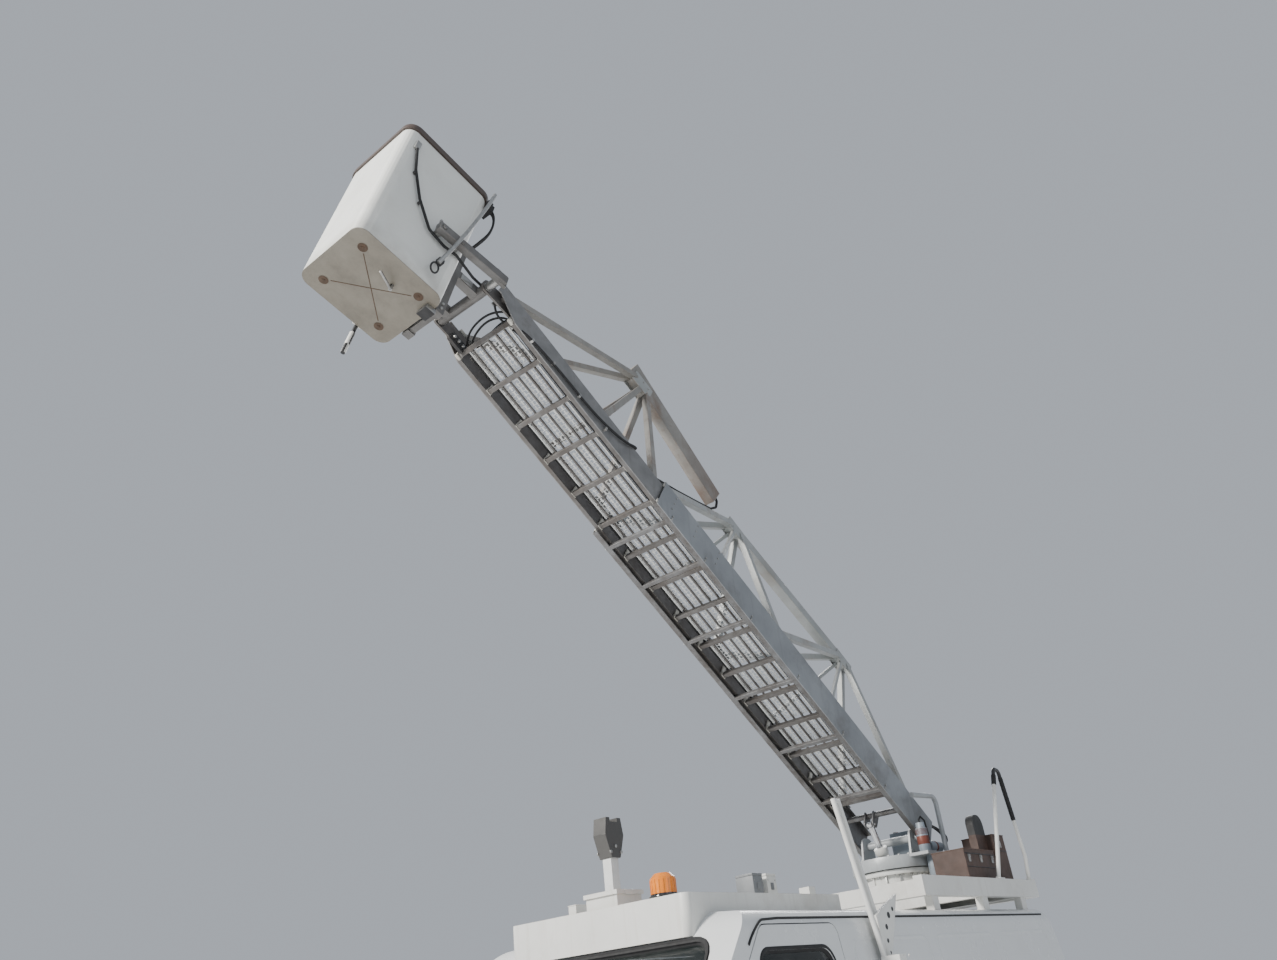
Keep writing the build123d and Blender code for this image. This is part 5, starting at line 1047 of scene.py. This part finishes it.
sleeve(grips, (-2300, 810, 2420), (-2640, 820, 3080), 0.80, 0.92, 17.5)
sleeve(grips, (-2850, 810, 2420), (-2730, 820, 3070), 0.42, 0.92, 17.5)
piece("rail_grips", grips, "van", [black_rubber], edge=0.0012)
rail_marks = bmesh.new()
for x, z, r in ((-60, 1990, 17), (-10, 1930, 15), (5, 1860, 12), (0, 1800, 9), (-120, 2022, 12)):
    drum(rail_marks, at(x, 954, z), left, r, 23, 20)
piece("gusset_holes", rail_marks, "van", [dark_steel])
feet = bmesh.new()
for x, y in ((-2250, 790), (-2850, 790)):
    block(feet, at(x, y, 2250), plain_axes, (96, 60, 8))
    for step in (-34, 34):
        drum(feet, at(x + step, y, 2258), plain_axes[2], 9, 8, 6)
for z in (1400, 1760):
    for x in (-8, 56):
        drum(feet, at(x, 1064, z + 16), left, 7, 6, 6)
piece("rail_feet", feet, "van", [rail_paint], edge=0.0015)

# Tool box: brown enamelled steel with lids, hinges and over-centre latches, faded and
# rusting at its edges, with a black rounded guard behind it.
box_brown = finish("box_brown", (0.075, 0.045, 0.035), 0.6, vary=0.25, grain=6, soil=0.7,
                   soil_color=(0.03, 0.022, 0.02), streak=0.3, bump=0.25, wear=0.8,
                   wear_color=(0.20, 0.11, 0.07))
overlay(box_brown, (0.03, 0.03, 0.03), at(0, 0, 2591), Vector((0, 0, 1)), -0.001, 0.001)
wear_node("tool_box", box_brown, 0.006)
long_box_x = -2190
tall_box_x = -2630
latches = bmesh.new()
for step in (-210, 0, 210):
    block(latches, at(long_box_x + step, 718, 2400), plain_axes, (34, 6, 52), 0)
    block(latches, at(long_box_x + step, 723, 2412), plain_axes, (20, 8, 22), 0)
block(latches, at(tall_box_x, 718, 2520), plain_axes, (34, 6, 52), 0)
block(latches, at(long_box_x, 717, 2432), plain_axes, (552, 4, 7), 1)
block(latches, at(long_box_x, 717, 2340), plain_axes, (552, 4, 5), 1)
block(latches, at(tall_box_x, 717, 2470), plain_axes, (212, 4, 5), 1)
block(latches, at(long_box_x, 590, 2464), plain_axes, (566, 258, 7), 2)
block(latches, at(tall_box_x, 590, 2589), plain_axes, (226, 258, 7), 2)
piece("box_latches", latches, "van", [zinc, dark_steel, box_brown], edge=0.0015)

# Turntable: machined steel disc with welded cheeks in light grey enamel, bolted to the
# slewing ring below; grease and dust have gathered round the ring.
turret_paint = finish("turret_paint", (0.40, 0.42, 0.43), 0.4, 0.1, vary=0.08, grain=4, soil=0.75,
                      soil_color=(0.22, 0.19, 0.16), streak=0.2, bump=0.1, wear=0.6,
                      wear_color=(0.34, 0.28, 0.24))
gear_paint = finish("gear_paint", (0.25, 0.29, 0.33), 0.45, 0.2, vary=0.15, grain=8, soil=0.6,
                    soil_color=(0.14, 0.10, 0.08), bump=0.2, wear=0.6)
motor_red = finish("motor_red", (0.16, 0.045, 0.03), 0.5, 0.2, vary=0.2, grain=9, soil=0.6, bump=0.25,
                   wear=0.5)
wear_node("turntable", turret_paint, 0.003)
wear_node("turret_gear", gear_paint, 0.003)
slew_x = -2200
ring_bolts = bmesh.new()
for k in range(24):
    spin = 2 * pi * (k + 0.5) / 24
    if abs(cos(spin)) < 0.96:
        drum(ring_bolts, at(slew_x + 296 * cos(spin), 296 * sin(spin), 2512), plain_axes[2], 10, 9, 6)
for side in (1, -1):
    drum(ring_bolts, at(pin_x, side * 301, pin_z), left, 36, 8, 24)
    drum(ring_bolts, at(pin_x, side * 306, pin_z), left, 12, 6, 6)
    for x in (-2300, -2170):
        drum(ring_bolts, at(x, side * 219, 2540), left, 10, 8, 6)
piece("turret_bolts", ring_bolts, "turret", [zinc], edge=0.001)
flange_bolts = bmesh.new()
for k in range(28):
    spin = 2 * pi * k / 28
    drum(flange_bolts, at(slew_x + 280 * cos(spin), 280 * sin(spin), 2373), plain_axes[2], 9, 10, 6)
for k in range(16):
    spin = 2 * pi * (k + 0.5) / 16
    radial = Vector((cos(spin), sin(spin), 0))
    round_about = Vector((-sin(spin), cos(spin), 0))
    centre = at(slew_x + 270 * cos(spin), 270 * sin(spin), 2300)
    block(flange_bolts, centre, (radial, round_about, plain_axes[2]), (16, 10, 150), 1)
piece("flange_bolts", flange_bolts, "van", [zinc, deck_paint], edge=0.001)
motor_x = -2080
motor_y = 351
motors = bmesh.new()
drum(motors, at(motor_x, motor_y, 2590), plain_axes[2], 46, 60, 24, 0)
for k in range(5):
    drum(motors, at(motor_x, motor_y, 2635 + k * 9), plain_axes[2], 47, 4, 24, 0)
for k in range(4):
    spin = pi / 4 + pi * k / 2
    drum(motors, at(motor_x + 30 * cos(spin), motor_y + 30 * sin(spin), 2682), plain_axes[2], 6, 8, 6, 1)
drum(motors, at(-2250, 343, 2552), plain_axes[0], 43, 30, 24, 0)
valve_places = (-2585, -2548, -2511)
for x in valve_places:
    drum(motors, at(x, 80, 2744), plain_axes[2], 14, 12, 6, 1)
    drum(motors, at(x, -80, 2744), plain_axes[2], 14, 12, 6, 1)
piece("turret_motors", motors, "turret", [motor_red, zinc], edge=0.001)
lines = bmesh.new()
for k, x in enumerate(valve_places):
    rows = ((0, 80, 2750), (0, 84, 2775), (3, 120, 2788), (6, 190, 2774), (10, 275, 2716), (22, 336, 2648),
            (70, 350, 2592 - 12 * k), (190, 344, 2574 - 12 * k))
    tube(lines, bend([at(x + row[0], row[1], row[2]) for row in rows]), 13, 13, None, 8)
motor_line = ((-2080, 351, 2700), (-2078, 352, 2740), (-2100, 360, 2765), (-2150, 362, 2740),
              (-2190, 352, 2650), (-2200, 346, 2600))
tube(lines, [at(*row) for row in motor_line], 13, 13, None, 8)
piece("turret_hoses", lines, "turret", [black_rubber])

# Lift cylinder: white enamelled barrel with a screwed gland, an oil port at each end and a
# hard chromed rod; a wiper ring keeps the rod clean.
cylinder_paint = finish("cylinder_paint", (0.68, 0.68, 0.65), 0.35, vary=0.06, grain=5, soil=0.4,
                        streak=0.2, bump=0.06, wear=0.5)
wear_node("lift_cylinder", cylinder_paint, 0.002)
wear_node("lift_rod", chrome)

# Bucket: moulded white fibreglass with a thick dark rim band, its underside darkened brown, partly soil
# and partly painted shade, with bolt stains; the gel coat has gone dull and chalky.
tip = on_boom(5320, 0, 70)
level = radians(19.5)
bucket_ahead = Vector((cos(level), 0, sin(level)))
bucket_up = Vector((-sin(level), 0, cos(level)))
bucket_foot = tip + bucket_ahead * 0.574 - bucket_up * 0.467
bucket_axes = (bucket_ahead, left, bucket_up)


def in_bucket(x, y, z):
    """A point in the bucket's own frame, in millimetres."""
    return bucket_foot + bucket_ahead * (x / 1000) + left * (y / 1000) + bucket_up * (z / 1000)


fibreglass = finish("fibreglass", (0.74, 0.75, 0.72), 0.42, vary=0.04, grain=2.5, soil=0.22,
                    soil_color=(0.45, 0.42, 0.36), soil_grain=3, streak=0.12, bump=0.08, bump_grain=70)
foot = tuple(bucket_foot)
down = tuple(-bucket_up)
rim_band = tuple(bucket_foot + bucket_up * 1.052)
# The bottom face and the lowest 160 mm are darkened brown: partly soil, partly painted shade under the
# bucket.
overlay(fibreglass, (0.20, 0.18, 0.14), foot, down, -0.006, -0.003, 0.0, 0.92)
overlay(fibreglass, (0.085, 0.07, 0.05), foot, down, -0.006, -0.003, 0.4, 0.75, 4)
overlay(fibreglass, (0.30, 0.27, 0.22), foot, down, -0.16, -0.0, 0.35, 0.5, 7)
overlay(fibreglass, (0.075, 0.055, 0.047), rim_band, tuple(bucket_up), -0.001, 0.001)
wear_node("bucket", fibreglass, 0.004)
stain = finish("stain", (0.085, 0.05, 0.03), 0.7, vary=0.3, grain=20, soil=0.4, bump=0.2)
carrier_paint = finish("carrier_paint", (0.17, 0.165, 0.16), 0.5, 0.4, vary=0.25, grain=7, soil=0.8,
                       soil_color=(0.07, 0.05, 0.04), bump=0.2, wear=0.7, wear_color=(0.38, 0.34, 0.30))
marks = bmesh.new()
for x in (-205, 205):
    for y in (-185, 185):
        drum(marks, in_bucket(x, y, -1), bucket_up, 30, 2.4, 20, 0, 0.5)
        drum(marks, in_bucket(x, y, -3), bucket_up, 9, 5, 6, 1)
for turn in (0.72, -0.72):
    axes = (bucket_ahead * cos(turn) + left * sin(turn), left * cos(turn) - bucket_ahead * sin(turn),
            bucket_up)
    block(marks, in_bucket(0, 0, -0.6), axes, (470, 5, 2.4), 0)
piece("bucket_marks", marks, "work_bucket", [stain, zinc, fibreglass], edge=0.0006)
fittings = bmesh.new()
rows = ((-343, 332, 1140), (-326, 345, 1010), (-270, 388, 700), (-222, 404, 440), (-192, 380, 280),
        (-168, 346, 160))
tube(fittings, bend([in_bucket(*row) for row in rows]), 26, 26, None, 10, slot_index=0)
loop_turns = [2 * pi * k / 18 for k in range(18)]
loop = [in_bucket(-163 + 26 * cos(turn), 330, 118 + 44 * sin(turn)) for turn in loop_turns]
tube(fittings, loop, 12, 12, None, 8, True, 1)
for x, z, reach in ((-178, 190, 36), (-330, 1010, 30)):
    block(fittings, in_bucket(x, 322 + reach / 3, z), bucket_axes, (40, reach, 30), 1)
for x, z in ((236, 905), (180, 700), (75, 500)):
    drum(fittings, in_bucket(x, 317, z), left, 12, 16, 12, 1)
block(fittings, in_bucket(240, 318, 930), bucket_axes, (34, 22, 70), 1)
drum(fittings, in_bucket(-60, 120, -22), bucket_up, 12, 42, 12, 1)
tube(fittings, [in_bucket(-60, 120, -38), in_bucket(-20, 150, -52), in_bucket(60, 190, -60)], 16, 16, None,
     8, slot_index=0)
block(fittings, in_bucket(-300, 150, -16), bucket_axes, (70, 90, 34), 1)
piece("bucket_fittings", fittings, "work_bucket", [zinc, dark_steel], edge=0.0008)
inside = bmesh.new()
block(inside, in_bucket(0, 0, 13), bucket_axes, (560, 510, 6), 0)
for y in (-200, -120, -40, 40, 120, 200):
    block(inside, in_bucket(0, y, 18), bucket_axes, (540, 14, 5), 0)
block(inside, in_bucket(322, 0, 700), bucket_axes, (14, 300, 60), 1)
piece("bucket_floor_mat", inside, "work_bucket", [black_rubber, fibreglass], edge=0.001)
wear_node("bucket_carrier", carrier_paint, 0.004)
arm = bmesh.new()
arm_front, arm_rear = in_bucket(-68, 362, 400), in_bucket(-606, 362, 452)
arm_length = (arm_rear - arm_front).length * 1000
arm_run = (arm_rear - arm_front).normalized()
arm_up = left.cross(arm_run)
block(arm, (arm_front + arm_rear) / 2, (arm_run, left, arm_up), (arm_length, 50, 60), 0)
block(arm, in_bucket(-574, 350, 464), bucket_axes, (96, 26, 96), 0)
drum(arm, in_bucket(-574, 290, 467), left, 28, 96, 24, 1)
for x, z in ((-100, 403), (-240, 416)):
    drum(arm, in_bucket(x, 344, z), left, 22, 86, 16, 1)
    drum(arm, in_bucket(x, 390, z), left, 17, 8, 6, 1)
drum(arm, in_bucket(-76, 362, 446), arm_up, 11, 34, 10, 1)
piece("bucket_arm", arm, "work_bucket", [carrier_paint, zinc], edge=0.003)
lever = bmesh.new()
drum(lever, in_bucket(-131, -326, 20), bucket_up, 13, 120, 12, 1)
drum(lever, in_bucket(-131, -328, -92), bucket_up, 17, 110, 12, 1)
drum(lever, in_bucket(-131, -328, -182), bucket_up, 15, 78, 14, 0)
block(lever, in_bucket(-131, -310, 50), bucket_axes, (60, 30, 50), 1)
piece("bucket_lever", lever, "work_bucket", [deck_paint, dark_steel], edge=0.002)
loops = bmesh.new()
for rows in (((-352, 290, 1040), (-410, 300, 1010), (-440, 280, 880), (-415, 200, 780), (-400, 150, 740)),
             ((-352, 250, 1050), (-430, 262, 1060), (-470, 220, 940), (-430, 120, 800), (-402, 90, 720))):
    tube(loops, bend([in_bucket(*row) for row in rows]), 15, 15, None, 8)
block(loops, in_bucket(-362, 268, 1030), bucket_axes, (40, 90, 60), 0)
piece("rim_loops", loops, "work_bucket", [black_rubber], smooth=50)
carrier = bmesh.new()
for side in (1, -1):
    for z in (110, 690):
        for step in (-20, 20):
            drum(carrier, in_bucket(-372, side * 164, z + step), left, 11, 9, 6, 0)
    drum(carrier, in_bucket(-574, side * 216, 467), left, 30, 8, 24, 0)
    drum(carrier, in_bucket(-574, side * 242, 467), left, 22, 8, 6, 0)
    block(carrier, in_bucket(-460, side * 163, 467), bucket_axes, (90, 5, 50), 1)
piece("carrier_bolts", carrier, "work_bucket", [zinc, dark_steel], edge=0.001)
